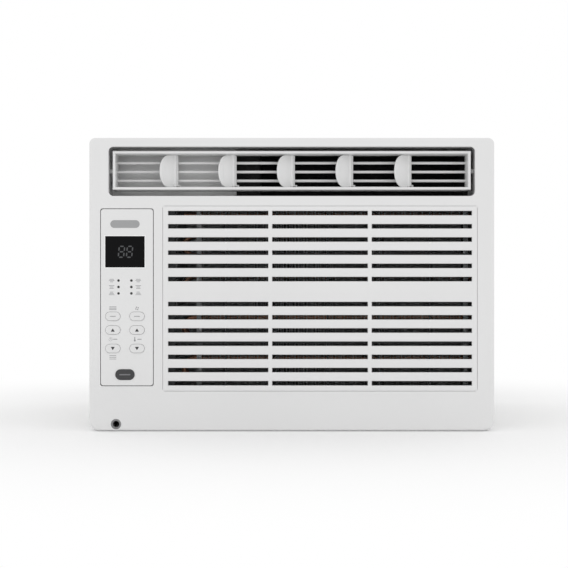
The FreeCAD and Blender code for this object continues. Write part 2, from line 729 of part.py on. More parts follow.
def run_capacitor():
    x0, _, _, y1, z0, z1 = control_box_span()
    can = rod_z(20.0, x0 + 26.0, y1 - 28.0, z0 + SHEET, z1 - 26.0)
    terminals = [box(x0 + 26 + dx - 1, x0 + 26 + dx + 1, y1 - 31, y1 - 25, z1 - 27, z1 - 18)
                 for dx in (-9, 0, 9)]
    return fuse([can] + terminals)


def cord_gland():
    body = rod_y(GLAND_RADIUS, GLAND_X, GLAND_Z, FRONT + 0.4, FRONT + GLAND_LENGTH)
    wing_y = PANEL_INSIDE
    wings = box(GLAND_X - GLAND_RADIUS - 2, GLAND_X + GLAND_RADIUS + 2, wing_y, wing_y + 2, GLAND_Z - 3,
                GLAND_Z + 3)
    body = fuse([body, wings])
    return drill(body, [rod_y(GLAND_BORE, GLAND_X, GLAND_Z, FRONT - 1, FRONT + GLAND_LENGTH + 1)])


# ---- air filter ----
def filter_frame():
    outer = box(FILTER_X0, FILTER_X1, FILTER_Y0, FILTER_Y1, FILTER_Z0, FILTER_Z1)
    rim = FILTER_RIM
    end = FILTER_RIM + 6.0
    inside = box(FILTER_X0 + rim, FILTER_X1 - end, FILTER_Y0 - 1, FILTER_Y1 + 1, FILTER_Z0 + rim,
                 FILTER_Z1 - rim)
    grip = box(FILTER_X1 - 6, FILTER_X1 - 3, FILTER_Y0 - 1, FILTER_Y0 + 2,
               (FILTER_Z0 + FILTER_Z1) / 2 - 15, (FILTER_Z0 + FILTER_Z1) / 2 + 15)
    frame = drill(outer, [inside, grip])
    bars = []
    for x in evenly(FILTER_X0 + rim, FILTER_X1 - end, 5):
        bars.append(box(x - FILTER_BAR / 2, x + FILTER_BAR / 2, FILTER_Y0, FILTER_Y1 - MESH_THICK - 0.2,
                        FILTER_Z0 + rim - 1, FILTER_Z1 - rim + 1))
    for z in evenly(FILTER_Z0 + rim, FILTER_Z1 - rim, 3):
        bars.append(box(FILTER_X0 + rim - 1, FILTER_X1 - end + 1, FILTER_Y0, FILTER_Y1 - MESH_THICK - 0.2,
                        z - FILTER_BAR / 2, z + FILTER_BAR / 2))
    return fuse([frame] + bars)


def evenly(low, high, count):
    step = (high - low) / (count + 1)
    return [low + step * (k + 1) for k in range(count)]


def filter_mesh():
    rim = FILTER_RIM
    end = FILTER_RIM + 6.0
    return box(FILTER_X0 + rim, FILTER_X1 - end, FILTER_Y1 - MESH_THICK, FILTER_Y1,
               FILTER_Z0 + rim, FILTER_Z1 - rim)


def filter_rails():
    """Upper and lower channels that the filter slides along."""
    gap = SLIDE_GAP
    lip = 1.2
    x0, x1 = FILTER_X0 - 2, WIDTH / 2 - PANEL_WALL - 0.5
    rails = []
    for edge, way in ((FILTER_Z1, 1), (FILTER_Z0, -1)):
        inner = edge + way * gap
        outer = inner + way * lip
        lips = edge - way * 3.0
        web = box(x0, x1, FILTER_Y0 - gap - lip, FILTER_Y1 + gap + lip, min(inner, outer),
                  max(inner, outer))
        front = box(x0, x1, FILTER_Y0 - gap - lip, FILTER_Y0 - gap, min(lips, outer), max(lips, outer))
        back = box(x0, x1, FILTER_Y1 + gap, FILTER_Y1 + gap + lip, min(lips, outer), max(lips, outer))
        rails.append(fuse([web, front, back]))
    return group(rails)


# ---- evaporator ----
def coil_rows(z0, z1, rows):
    pitch = (z1 - z0) / rows
    return [z0 + pitch * (k + 0.5) for k in range(rows)]


def coil_columns(y0, y1):
    return (y0 + 0.28 * (y1 - y0), y1 - 0.28 * (y1 - y0))


def coil_tubes(x0, x1, y0, y1, z0, z1, rows):
    """One serpentine tube in each column."""
    pitch = (z1 - z0) / rows
    bend = pitch / 2
    reach = coil_reach(z0, z1, rows)
    snakes = []
    for y in coil_columns(y0, y1):
        points = [V(x0 - reach, y, coil_rows(z0, z1, rows)[0])]
        for k, z in enumerate(coil_rows(z0, z1, rows)):
            ends = (x0 - reach, x1 + reach) if k % 2 == 0 else (x1 + reach, x0 - reach)
            if k > 0:
                points.append(V(ends[0], y, z))
            points.append(V(ends[1], y, z))
        snakes.append(tube(points, TUBE_RADIUS, bend))
    return group(snakes)


def coil_fins(x0, x1, y0, y1, z0, z1, rows, pitch):
    holes = [(y, z) for y in coil_columns(y0, y1) for z in coil_rows(z0, z1, rows)]
    plate = box(0, FIN_THICK, y0, y1, z0, z1)
    plate = drill(plate, [rod(TUBE_RADIUS + RUN_FIT, V(-1, y, z), V(FIN_THICK + 1, y, z))
                          for y, z in holes])
    count = int((x1 - x0 - 8) / pitch)
    start = (x0 + x1 - (count - 1) * pitch - FIN_THICK) / 2
    return group([plate.translated(V(start + k * pitch, 0, 0)) for k in range(count)])


def end_plate_pair(x0, x1, y0, y1, z0, z1, rows):
    holes = [(y, z) for y in coil_columns(y0, y1) for z in coil_rows(z0, z1, rows)]
    plates = []
    for x in (x0, x1 - END_SHEET):
        plate = box(x, x + END_SHEET, y0, y1, z0, z1)
        cuts = [rod(TUBE_RADIUS + RUN_FIT, V(x - 1, y, z), V(x + END_SHEET + 1, y, z)) for y, z in holes]
        plates.append(drill(plate, cuts))
    return plates


def evaporator_end_plates():
    """End plates whose front edges are folded over the first fins."""
    left, right = end_plate_pair(*EVAPORATOR, EVAP_ROWS)
    folds = [box(x, x + END_FLANGE, EVAP_Y0 - END_SHEET, EVAP_Y0, EVAP_Z0, EVAP_Z1)
             for x in (EVAP_X0, EVAP_X1 - END_FLANGE)]
    return [fuse([left, folds[0]]), fuse([right, folds[1]])]


def coil_end_plates():
    return group(evaporator_end_plates() + end_plate_pair(*CONDENSER, COND_ROWS))


def room_sensor():
    x = EVAP_X0 + 117.0
    bulb = rod(3.0, V(x - 14, EVAP_Y0 - 5.5, 78), V(x + 14, EVAP_Y0 - 5.5, 78))
    clip = box(x - 4, x + 4, EVAP_Y0 - 8, EVAP_Y0 - 0.2, 74.5, 81.5)
    return fuse([clip, bulb])


def drain_trough():
    """Tray under the evaporator, open to the rear through a notch."""
    x0, x1 = EVAP_X0 - 4, EVAP_X1 + 4
    y0, y1 = EVAP_Y0 - 3, EVAP_Y1 + 3
    z0, z1 = PAN_FLOOR, EVAP_Z0
    tray = box(x0, x1, y0, y1, z0, z1)
    under = [e for e in tray.Edges if e.BoundBox.XLength > 1 and e.BoundBox.ZMax < z0 + 0.01]
    tray = tray.makeFillet(PAN_BEND - 2, under)
    tray = tray.cut(box(x0 + 2, x1 - 2, y0 + 4, y1 - 4, z0 + 3, z1 + 1))
    shelf = [box(x, x + 6, y0 + 2, y1 - 2, z0 + 2, EVAP_Z0) for x in evenly(x0 + 2, x1 - 8, 4)]
    notch = box(x0 + 20, x0 + 50, y1 - 5, y1 + 1, z0 + 3, z0 + 12)
    return drill(fuse([tray] + shelf), [notch])


# ---- blower ----
def scroll_form(grow):
    """Volute, rising duct and front mouth, made larger all round by grow."""
    radius = WHEEL_RADIUS + WHEEL_GAP + 12.0
    y0, y1 = SCROLL_Y0 + SCROLL_WALL - grow, SCROLL_Y1 - SCROLL_WALL + grow
    right = SCROLL_X1 - SCROLL_WALL
    volute = rod_y(radius + grow, FAN_X, FAN_Z, y0, y1)
    rise = box(FAN_X - radius - grow, right + grow, y0, y1, FAN_Z, VENT_TOP + min(grow, 2.0))
    tongue = box(FAN_X + WHEEL_RADIUS + WHEEL_GAP + grow, right + grow + 1, y0 - 1, y1 + 1, FAN_Z - 1,
                 FAN_Z + 40 - grow)
    mouth = box(DUCT_LEFT + LINER_WALL - grow, right + grow, y0, y0 + 40 + grow, VENT_BOTTOM - grow,
                VENT_TOP + min(grow, 2.0))
    return fuse([volute, rise.cut(tongue), mouth])


def blower_scroll():
    deck = SCROLL_Y0 + SCROLL_WALL
    inlet = rod_y(INLET_RADIUS, FAN_X, FAN_Z, SCROLL_Y0 - 1, deck + 1)
    rear = rod_y(SHAFT_RADIUS + 6, FAN_X, FAN_Z, SCROLL_Y1 - SCROLL_WALL - 1, SCROLL_Y1 + 1)
    mouth = box(DUCT_LEFT + LINER_WALL, SCROLL_X1 - SCROLL_WALL, SCROLL_Y0 - 1, deck + 1, VENT_BOTTOM,
                VENT_TOP)
    foot = box(FAN_X - 60, FAN_X + 60, SCROLL_Y0, SCROLL_Y1, SCROLL_Z0,
               FAN_Z - WHEEL_RADIUS - WHEEL_GAP - 12.0)
    return drill(fuse([scroll_form(SCROLL_WALL), foot]), [scroll_form(0), inlet, rear, mouth])


def blower_wheel():
    """Forward-curved wheel: back disc with hub, blades and a front ring."""
    disc_y = WHEEL_Y1 - 2.0
    disc = rod_y(WHEEL_RADIUS, FAN_X, FAN_Z, disc_y, WHEEL_Y1)
    hub = rod_y(12.0, FAN_X, FAN_Z, disc_y - 18.0, disc_y)
    ring = ring_y(WHEEL_RADIUS, WHEEL_RADIUS - WHEEL_BLADE_DEPTH, FAN_X, FAN_Z, WHEEL_Y0, WHEEL_Y0 + 3)
    blades = []
    for k in range(WHEEL_BLADES):
        blade = box(WHEEL_RADIUS - WHEEL_BLADE_DEPTH, WHEEL_RADIUS - 0.6, WHEEL_Y0 + 1, disc_y + 0.5,
                    -0.8, 0.8)
        blade.rotate(V(WHEEL_RADIUS - WHEEL_BLADE_DEPTH / 2, 0, 0), Y_AXIS, 25)
        blade.rotate(V(0, 0, 0), Y_AXIS, 360.0 * k / WHEEL_BLADES)
        blade.translate(V(FAN_X, 0, FAN_Z))
        blades.append(blade)
    rim = rod_y(WHEEL_RADIUS, FAN_X, FAN_Z, WHEEL_Y0, WHEEL_Y1)
    blades = [blade.common(rim) for blade in blades]
    bore = rod_y(SHAFT_RADIUS, FAN_X, FAN_Z, WHEEL_Y0 - 1, WHEEL_Y1 + 1)
    return drill(fuse([disc, hub, ring] + blades), [bore])


def bulkhead():
    x = PAN_X - PAN_SHEET - LOOSE
    sheet = slab(-x, x, BULKHEAD_Y, BULKHEAD_Y + SHEET, PAN_FLOOR, CABINET_TOP - SHEET - LOOSE,
                 (PAN_BEND, PAN_BEND, CABINET_BEND, CABINET_BEND))
    hole = rod_y(SHAFT_RADIUS + 8, FAN_X, FAN_Z, BULKHEAD_Y - 1, BULKHEAD_Y + 2)
    pipes = [rod_y(5.5, x, z, BULKHEAD_Y - 1, BULKHEAD_Y + 2) for x, z in pipe_passes()]
    notch = box(SCROLL_X0 - 20, SCROLL_X0 - 8, BULKHEAD_Y - 1, BULKHEAD_Y + 2, PAN_FLOOR - 1,
                PAN_FLOOR + 10)
    return drill(sheet, [hole, notch] + pipes)


def pipe_passes():
    """Where the capillary and the suction line go through the bulkhead."""
    z = coil_rows(EVAP_Z0, EVAP_Z1, EVAP_ROWS)[0]
    return [(COMP_X - 8, z), (COMP_X + 4, z)]


def fan_motor():
    body = rod_y(MOTOR_RADIUS, FAN_X, FAN_Z, MOTOR_Y0, MOTOR_Y1)
    rounded = front_edges(body, MOTOR_Y0) + front_edges(body, MOTOR_Y1)
    body = body.makeFillet(8.0, rounded)
    noses = [rod_y(14, FAN_X, FAN_Z, MOTOR_Y0 - 6, MOTOR_Y0 + 2),
             rod_y(14, FAN_X, FAN_Z, MOTOR_Y1 - 2, MOTOR_Y1 + 6)]
    bore = rod_y(SHAFT_RADIUS + RUN_FIT, FAN_X, FAN_Z, MOTOR_Y0 - 7, MOTOR_Y1 + 7)
    return drill(fuse([body] + noses), [bore])


def motor_bracket():
    """Band round the motor on three arms that reach the bulkhead."""
    mid = (MOTOR_Y0 + MOTOR_Y1) / 2
    band = ring_y(MOTOR_RADIUS + 3, MOTOR_RADIUS, FAN_X, FAN_Z, mid - 10, mid + 10)
    arms = []
    y0 = BULKHEAD_Y + SHEET
    for angle in (90, 210, 330):
        turn = math.radians(angle)
        reach = MOTOR_RADIUS + 3 + BRACKET_ARM / 2 - 1
        x = FAN_X + reach * math.cos(turn)
        z = FAN_Z + reach * math.sin(turn)
        arms.append(rod_y(BRACKET_ARM / 2, x, z, y0, mid + 10))
        arms.append(rod_y(BRACKET_ARM, x, z, y0, y0 + 2))
    inside = rod_y(MOTOR_RADIUS, FAN_X, FAN_Z, y0 - 1, MOTOR_Y1)
    return drill(fuse([band] + arms), [inside])


def motor_shaft():
    return rod_y(SHAFT_RADIUS, FAN_X, FAN_Z, SHAFT_Y0, SHAFT_Y1)


def condenser_fan():
    """Axial fan with a water-slinging ring round its blade tips."""
    mid = (FAN_Y0 + FAN_Y1) / 2
    hub = rod_y(FAN_HUB, FAN_X, FAN_Z, FAN_Y0 + 3, FAN_Y1)
    ring = ring_y(FAN_RADIUS, FAN_RADIUS - 2, FAN_X, FAN_Z, mid - SLINGER, mid + SLINGER)
    blades = []
    for k in range(FAN_BLADES):
        blade = box(FAN_HUB - 4, FAN_RADIUS - 1, mid - 1.2, mid + 1.2, -26, 26)
        blade.rotate(V(0, mid, 0), X_AXIS, 24)
        blade.rotate(V(0, 0, 0), Y_AXIS, 360.0 * k / FAN_BLADES)
        blade.translate(V(FAN_X, 0, FAN_Z))
        blades.append(blade.common(rod_y(FAN_RADIUS - 0.5, FAN_X, FAN_Z, FAN_Y0, FAN_Y1)))
    bore = rod_y(SHAFT_RADIUS, FAN_X, FAN_Z, FAN_Y0 - 1, FAN_Y1 + 1)
    return drill(fuse([hub, ring] + blades), [bore])


def fan_shroud():
    inner = FAN_RADIUS + SHROUD_GAP
    plate = box(COND_X0, COND_X1, SHROUD_Y - SHROUD_THICK, SHROUD_Y, COND_Z0, COND_Z1)
    flange = box(COND_X0, COND_X1, SHROUD_Y, COND_Y0, COND_Z0, COND_Z1)
    well = box(COND_X0 + 3, COND_X1 - 3, SHROUD_Y - 0.01, COND_Y0 + 1, COND_Z0 + 3, COND_Z1 - 3)
    collar = rod_y(inner + SHROUD_THICK, FAN_X, FAN_Z, SHROUD_Y - SHROUD_COLLAR, SHROUD_Y)
    collar = collar.common(box(-WIDTH, WIDTH, -DEPTH, DEPTH, COND_Z0, HEIGHT))
    hole = rod_y(inner, FAN_X, FAN_Z, SHROUD_Y - SHROUD_COLLAR - 1, COND_Y0 + 1)
    return drill(fuse([plate, flange.cut(well), collar]), [hole])


# ---- compressor and refrigerant circuit ----
def compressor_studs():
    places = []
    for angle in (90, 210, 330):
        turn = math.radians(angle)
        places.append((COMP_X + (COMP_RADIUS + 6) * math.cos(turn),
                       COMP_Y + (COMP_RADIUS + 6) * math.sin(turn)))
    return places


def compressor():
    top = COMP_Z0 + COMP_HEIGHT
    shell = rod_z(COMP_RADIUS, COMP_X, COMP_Y, COMP_Z0 + 2, top)
    rims = [e for e in shell.Edges if e.BoundBox.ZLength < 0.01]
    shell = shell.makeFillet(COMP_DOME, rims)
    seam = rod_z(COMP_RADIUS + 1.5, COMP_X, COMP_Y, COMP_Z0 + 0.62 * COMP_HEIGHT,
                 COMP_Z0 + 0.62 * COMP_HEIGHT + 5)
    feet = []
    for x, y in compressor_studs():
        feet.append(rod_z(11, x, y, COMP_Z0, COMP_Z0 + 3))
        bar = Part.makeBox(COMP_RADIUS + 6, 22, 3, V(0, -11, COMP_Z0))
        bar.rotate(V(0, 0, 0), Z_AXIS, math.degrees(math.atan2(y - COMP_Y, x - COMP_X)))
        bar.translate(V(COMP_X, COMP_Y, 0))
        feet.append(bar)
    inside = COMP_RADIUS - COMP_WALL
    room = rod_z(inside, COMP_X, COMP_Y, COMP_Z0 + COMP_DOME, top - COMP_DOME)
    works = rod_z(COMP_CORE, COMP_X, COMP_Y, COMP_Z0 + COMP_DOME, top - 2 * COMP_DOME)
    holes = [rod_z(GROMMET_RADIUS - 2, x, y, COMP_Z0 - 1, COMP_Z0 + 4) for x, y in compressor_studs()]
    return drill(fuse([shell, seam] + feet), holes + [room.cut(works)])


def compressor_grommets():
    rubbers = []
    for x, y in compressor_studs():
        lower = rod_z(GROMMET_RADIUS, x, y, PAN_FLOOR, COMP_Z0)
        neck = rod_z(GROMMET_RADIUS - 2, x, y, PAN_FLOOR, COMP_Z0 + 3)
        cap = rod_z(GROMMET_RADIUS, x, y, COMP_Z0 + 3, PAN_FLOOR + GROMMET_HEIGHT + 6)
        bore = rod_z(COMP_STUD + 0.1, x, y, PAN_FLOOR - 1, PAN_FLOOR + GROMMET_HEIGHT + 8)
        rubbers.append(drill(fuse([lower, neck, cap]), [bore]))
    return group(rubbers)


def compressor_nuts():
    nuts = []
    for x, y in compressor_studs():
        stud = rod_z(COMP_STUD, x, y, PAN_FLOOR, PAN_FLOOR + GROMMET_HEIGHT + 14)
        points = [V(x + 5 * math.cos(math.radians(a)), y + 5 * math.sin(math.radians(a)),
                    PAN_FLOOR + GROMMET_HEIGHT + 6) for a in range(0, 361, 60)]
        nut = Part.Face(Part.makePolygon(points)).extrude(V(0, 0, 4))
        nuts.append(fuse([stud, nut]))
    return group(nuts)


def terminal_cover():
    top = COMP_Z0 + COMP_HEIGHT
    return fuse([rod_z(16, COMP_X, COMP_Y, top, top + 16), rod_z(3, COMP_X, COMP_Y, top + 15, top + 22)])


def accumulator_place():
    return ACCUMULATOR_RADIUS + 4 - PAN_X, BULKHEAD_Y + SHEET + ACCUMULATOR_RADIUS + 3


def accumulator_top():
    return COMP_Z0 + 0.35 * COMP_HEIGHT + ACCUMULATOR_HEIGHT


def accumulator():
    x, y = accumulator_place()
    can = rod_z(ACCUMULATOR_RADIUS, x, y, accumulator_top() - ACCUMULATOR_HEIGHT, accumulator_top())
    rims = [e for e in can.Edges if e.BoundBox.ZLength < 0.01]
    return can.makeFillet(8, rims)


def coil_reach(z0, z1, rows):
    return (z1 - z0) / rows / 2 + 3.0


def discharge_line():
    z = COMP_Z0 + COMP_HEIGHT
    x, y = COMP_X + 22, COMP_Y + 14
    top = coil_rows(COND_Z0, COND_Z1, COND_ROWS)[-1]
    path = [V(x, y, z), V(x, y, top), V(COND_X0 - 11, y, top), V(COND_X0 - 11, COND_Y0 - 2, top)]
    return tube(path, PIPE_RADIUS, 10)


def suction_line():
    px, pz = pipe_passes()[1]
    column = coil_columns(EVAP_Y0, EVAP_Y1)[1]
    start = EVAP_X0 - coil_reach(EVAP_Z0, EVAP_Z1, EVAP_ROWS)
    x, y = accumulator_place()
    back = BULKHEAD_Y + SHEET + PIPE_RADIUS + 1
    over = COMP_Z0 + COMP_HEIGHT + 14
    path = [V(start, column, pz), V(px, column, pz), V(px, back, pz), V(px, back, over),
            V(x, y, over), V(x, y, accumulator_top())]
    return tube(path, PIPE_RADIUS, 7)


def capillary_tube():
    px, pz = pipe_passes()[0]
    column = coil_columns(EVAP_Y0, EVAP_Y1)[0]
    start = EVAP_X0 - coil_reach(EVAP_Z0, EVAP_Z1, EVAP_ROWS)
    y = BULKHEAD_Y + SHEET + PIPE_RADIUS + 2
    side = COMP_X + COMP_RADIUS + 13
    low = PAN_FLOOR + 14
    end, far, high = drier_place()
    path = [V(start, column, pz), V(px, column, pz), V(px, y, pz), V(px, y, low), V(side, y, low),
            V(side, far, low), V(side, far, high), V(end, far, high)]
    return tube(path, CAPILLARY_RADIUS, 5)


def drier_place():
    """Right end of the drier, its depth and its height."""
    return COMP_X + 12, SHROUD_Y - 30, COMP_Z0 + 44


def filter_drier():
    x, y, z = drier_place()
    can = rod(9, V(x - 46, y, z), V(x, y, z))
    return can.makeFillet(4, [e for e in can.Edges if e.BoundBox.XLength < 0.01])


# ---- base pan, cabinet and outdoor grille ----
def drain_place():
    return 0.0, PAN_REAR - 24.0


def base_pan():
    outer = box(-PAN_X, PAN_X, PAN_FRONT, PAN_REAR, FOOT_HEIGHT, FOOT_HEIGHT + PAN_FLANGE)
    under = [e for e in outer.Edges if abs(e.BoundBox.ZMax - FOOT_HEIGHT) < 0.01]
    outer = outer.makeFillet(PAN_BEND, under)
    t = PAN_SHEET
    inner = box(t - PAN_X, PAN_X - t, PAN_FRONT + t, PAN_REAR - t, PAN_FLOOR, FOOT_HEIGHT + PAN_FLANGE + 20)
    under = [e for e in inner.Edges if abs(e.BoundBox.ZMax - PAN_FLOOR) < 0.01]
    inner = inner.makeFillet(PAN_BEND - t, under)
    x, y = drain_place()
    runners = [box(side * 150 - 15, side * 150 + 15, PANEL_BACK + 4, PAN_REAR - 20, 0, PAN_FLOOR)
               for side in (-1, 1)]
    collar = rod_z(DRAIN_RADIUS + 1.5, x, y, FOOT_HEIGHT, PAN_FLOOR + DRAIN_COLLAR)
    pan = fuse([outer.cut(inner), collar] + runners)
    holes = [rod_z(DRAIN_RADIUS, x, y, -1, PAN_FLOOR + DRAIN_COLLAR + 1)]
    holes += [rod(SCREW_RADIUS, V(px - 4, py, pz), V(px + 4, py, pz))
              for px, py, pz in cabinet_screw_places()]
    return drill(pan, holes)


def louvre_rows():
    """Centres, across the depth, of the upright slots in the cabinet sides."""
    middle = (BULKHEAD_Y + COND_Y0) / 2
    return [middle + (k - (LOUVRE_COUNT - 1) / 2) * LOUVRE_PITCH for k in range(LOUVRE_COUNT)]


def side_banks():
    centre = CABINET_TOP / 2
    gap = LOUVRE_HEIGHT + 24
    return [centre - gap / 2, centre + gap / 2]


def cabinet():
    x = CABINET_X
    t = SHEET
    radii = (0, 0, CABINET_BEND, CABINET_BEND)
    inner_radii = (0, 0, CABINET_BEND - t, CABINET_BEND - t)
    outer = slab(-x, x, CABINET_FRONT, REAR, CABINET_BOTTOM, CABINET_TOP, radii)
    inner = slab(t - x, x - t, CABINET_FRONT - 1, REAR - t, 0, CABINET_TOP - t, inner_radii)
    back = slab(REAR_LIP - x, x - REAR_LIP, REAR - t - 1, REAR + 1, 0, CABINET_TOP - REAR_LIP, (0, 0, 2, 2))
    cuts = [inner, back]
    half = LOUVRE_WIDTH / 2
    for y in louvre_rows():
        for z in side_banks():
            z0, z1 = z - LOUVRE_HEIGHT / 2, z + LOUVRE_HEIGHT / 2
            cuts += [box(-x - 1, t - x + 1, y - half, y + half, z0, z1),
                     box(x - t - 1, x + 1, y - half, y + half, z0, z1)]
        for cx in (-CABINET_X / 2, CABINET_X / 2):
            span = LOUVRE_HEIGHT
            cuts.append(box(cx - span, cx + span, y - half, y + half, CABINET_TOP - t - 1, CABINET_TOP + 1))
    cuts += [rod_z(RAIL_HOLE, px, py, CABINET_TOP - 3, CABINET_TOP + 1) for px, py in rail_places()]
    for side in (-1, 1):
        for py, pz in curtain_places():
            cuts.append(rod(RAIL_HOLE, V(side * (x - 3), py, pz), V(side * (x + 1), py, pz)))
        for _, py, pz in panel_screw_places():
            cuts.append(rod(SCREW_RADIUS, V(side * (x - 3), py, pz), V(side * (x + 1), py, pz)))
        for px, py, pz in cabinet_screw_places():
            cuts.append(rod(SCREW_RADIUS, V(px - 3, py, pz), V(px + 3, py, pz)))
    return drill(outer, cuts)


def rail_places():
    return [(side * RAIL_SPACING / 2, PANEL_BACK + 12) for side in (-1, 1)]


def curtain_places():
    return [(PANEL_BACK + 12, HEIGHT / 2 + side * CURTAIN_SPACING / 2) for side in (-1, 1)]


def cabinet_screw_places():
    z = FOOT_HEIGHT + PAN_FLANGE - 8
    return [(side * CABINET_X, y, z) for side in (-1, 1) for y in (PANEL_BACK + 40, 20.0, PAN_REAR - 30)]


def cabinet_screws():
    screws = []
    for x, y, z in cabinet_screw_places():
        side = 1 if x > 0 else -1
        head = rod(SCREW_HEAD, V(x, y, z), V(x + side * SCREW_HEAD_THICK, y, z))
        shank = rod(SCREW_RADIUS, V(x - side * 8, y, z), V(x + side * 0.5, y, z))
        screws.append(fuse([head, shank]))
    return group(screws)


def rear_guard():
    """Welded wire grid inside a wire frame, behind the outdoor coil."""
    r = GUARD_WIRE
    y = REAR - SHEET - r - 0.2
    x = CABINET_X - REAR_LIP + 4
    z0, z1 = FOOT_HEIGHT + PAN_FLANGE + 4, CABINET_TOP - REAR_LIP + 4
    wires = []
    columns = int((2 * x) / (GUARD_PITCH * 5))
    for px in evenly(-x, x, columns):
        wires.append(rod_z(r, px, y, z0, z1))
    rows = int((z1 - z0) / GUARD_PITCH)
    for pz in evenly(z0, z1, rows):
        wires.append(rod(r, V(-x, y, pz), V(x, y, pz)))
    frame = [rod_z(r, -x, y, z0, z1), rod_z(r, x, y, z0, z1),
             rod(r, V(-x - r, y, z0), V(x + r, y, z0)), rod(r, V(-x - r, y, z1), V(x + r, y, z1))]
    return fuse(wires + frame)


# ---- write every piece ----
os.makedirs("parts", exist_ok=True)
PLAIN_NODES = (front_panel, panel_screws, intake_grille, outlet_liner, deflector_frame, vane_link_bar,
               control_fascia, display_window, display_module, indicator_lenses, tact_switches,
               control_board, control_box, control_box_cover, run_capacitor, cord_gland, filter_frame,
               filter_mesh, filter_rails, room_sensor, drain_trough, blower_scroll, blower_wheel,
               bulkhead, fan_motor, motor_bracket, motor_shaft, condenser_fan, fan_shroud, compressor,
               compressor_grommets, compressor_nuts, terminal_cover, accumulator, discharge_line,
               suction_line, capillary_tube, filter_drier, base_pan, cabinet, cabinet_screws,
               rear_guard, coil_end_plates)
for build in PLAIN_NODES:
    save(build.__name__, build())
save("blank_badge", badge_slab(PANEL_GAP / 4))
for index, place in enumerate(vane_places()):
    save("vane_" + str(index + 1), vane(place))
for name, x, z, length, height in button_places():
    save(name, button(x, z, length, height))
for name, sizes, rows, pitch in (("evaporator", EVAPORATOR, EVAP_ROWS, EVAP_FIN_PITCH),
                                 ("condenser", CONDENSER, COND_ROWS, COND_FIN_PITCH)):
    save(name + "_tubes", coil_tubes(*sizes, rows))
    save(name + "_fins", coil_fins(*sizes, rows, pitch))
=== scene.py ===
"""Looks of a window air conditioner, built over its CAD frame.

Every sub-assembly is a class whose fields hold its sizes and whose methods build and dress its meshes.
Lengths are in metres; +X is to the right of the front, +Y points outdoors and +Z is up.
"""
import json
import logging
import math
from dataclasses import dataclass
from enum import Enum
from typing import Dict, Iterable, List, Optional, Sequence, Tuple

import bmesh
import bpy
from mathutils import Matrix, Vector


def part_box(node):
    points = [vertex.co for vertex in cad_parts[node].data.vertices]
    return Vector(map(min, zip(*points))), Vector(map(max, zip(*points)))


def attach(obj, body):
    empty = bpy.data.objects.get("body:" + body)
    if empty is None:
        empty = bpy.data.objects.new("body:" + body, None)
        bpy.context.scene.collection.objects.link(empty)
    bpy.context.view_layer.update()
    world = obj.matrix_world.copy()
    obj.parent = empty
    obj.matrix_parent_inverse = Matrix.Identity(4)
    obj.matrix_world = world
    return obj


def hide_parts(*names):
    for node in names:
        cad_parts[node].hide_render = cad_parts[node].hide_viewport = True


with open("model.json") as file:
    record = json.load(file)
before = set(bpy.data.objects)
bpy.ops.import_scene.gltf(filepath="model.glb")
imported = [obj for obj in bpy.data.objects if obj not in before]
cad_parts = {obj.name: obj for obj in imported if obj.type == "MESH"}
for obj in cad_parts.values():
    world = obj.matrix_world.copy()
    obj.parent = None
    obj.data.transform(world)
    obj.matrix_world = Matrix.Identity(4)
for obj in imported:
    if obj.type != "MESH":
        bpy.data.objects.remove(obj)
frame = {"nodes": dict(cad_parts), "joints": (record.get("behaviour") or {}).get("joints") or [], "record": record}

LOG = logging.getLogger("air_conditioner")
MM = 0.001
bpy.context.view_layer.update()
Point = Tuple[float, float, float]
Nodes = Dict[str, bpy.types.Object]
ORIGIN: Point = (0.0, 0.0, 0.0)


class Axis(Enum):
    """Direction that a section is drawn out along."""

    X = 0
    Y = 1
    Z = 2

    def place(self, u: float, v: float, along: float) -> Vector:
        """Gives the point at u, v in the section and at `along` on the axis.

        Args:
            u: First section coordinate, in X, Y, Z order.
            v: Second section coordinate.
            along: Distance along the axis.

        Returns:
            The point in the row frame.
        """
        spot = [u, v]
        spot.insert(self.value, along)
        return Vector(spot)


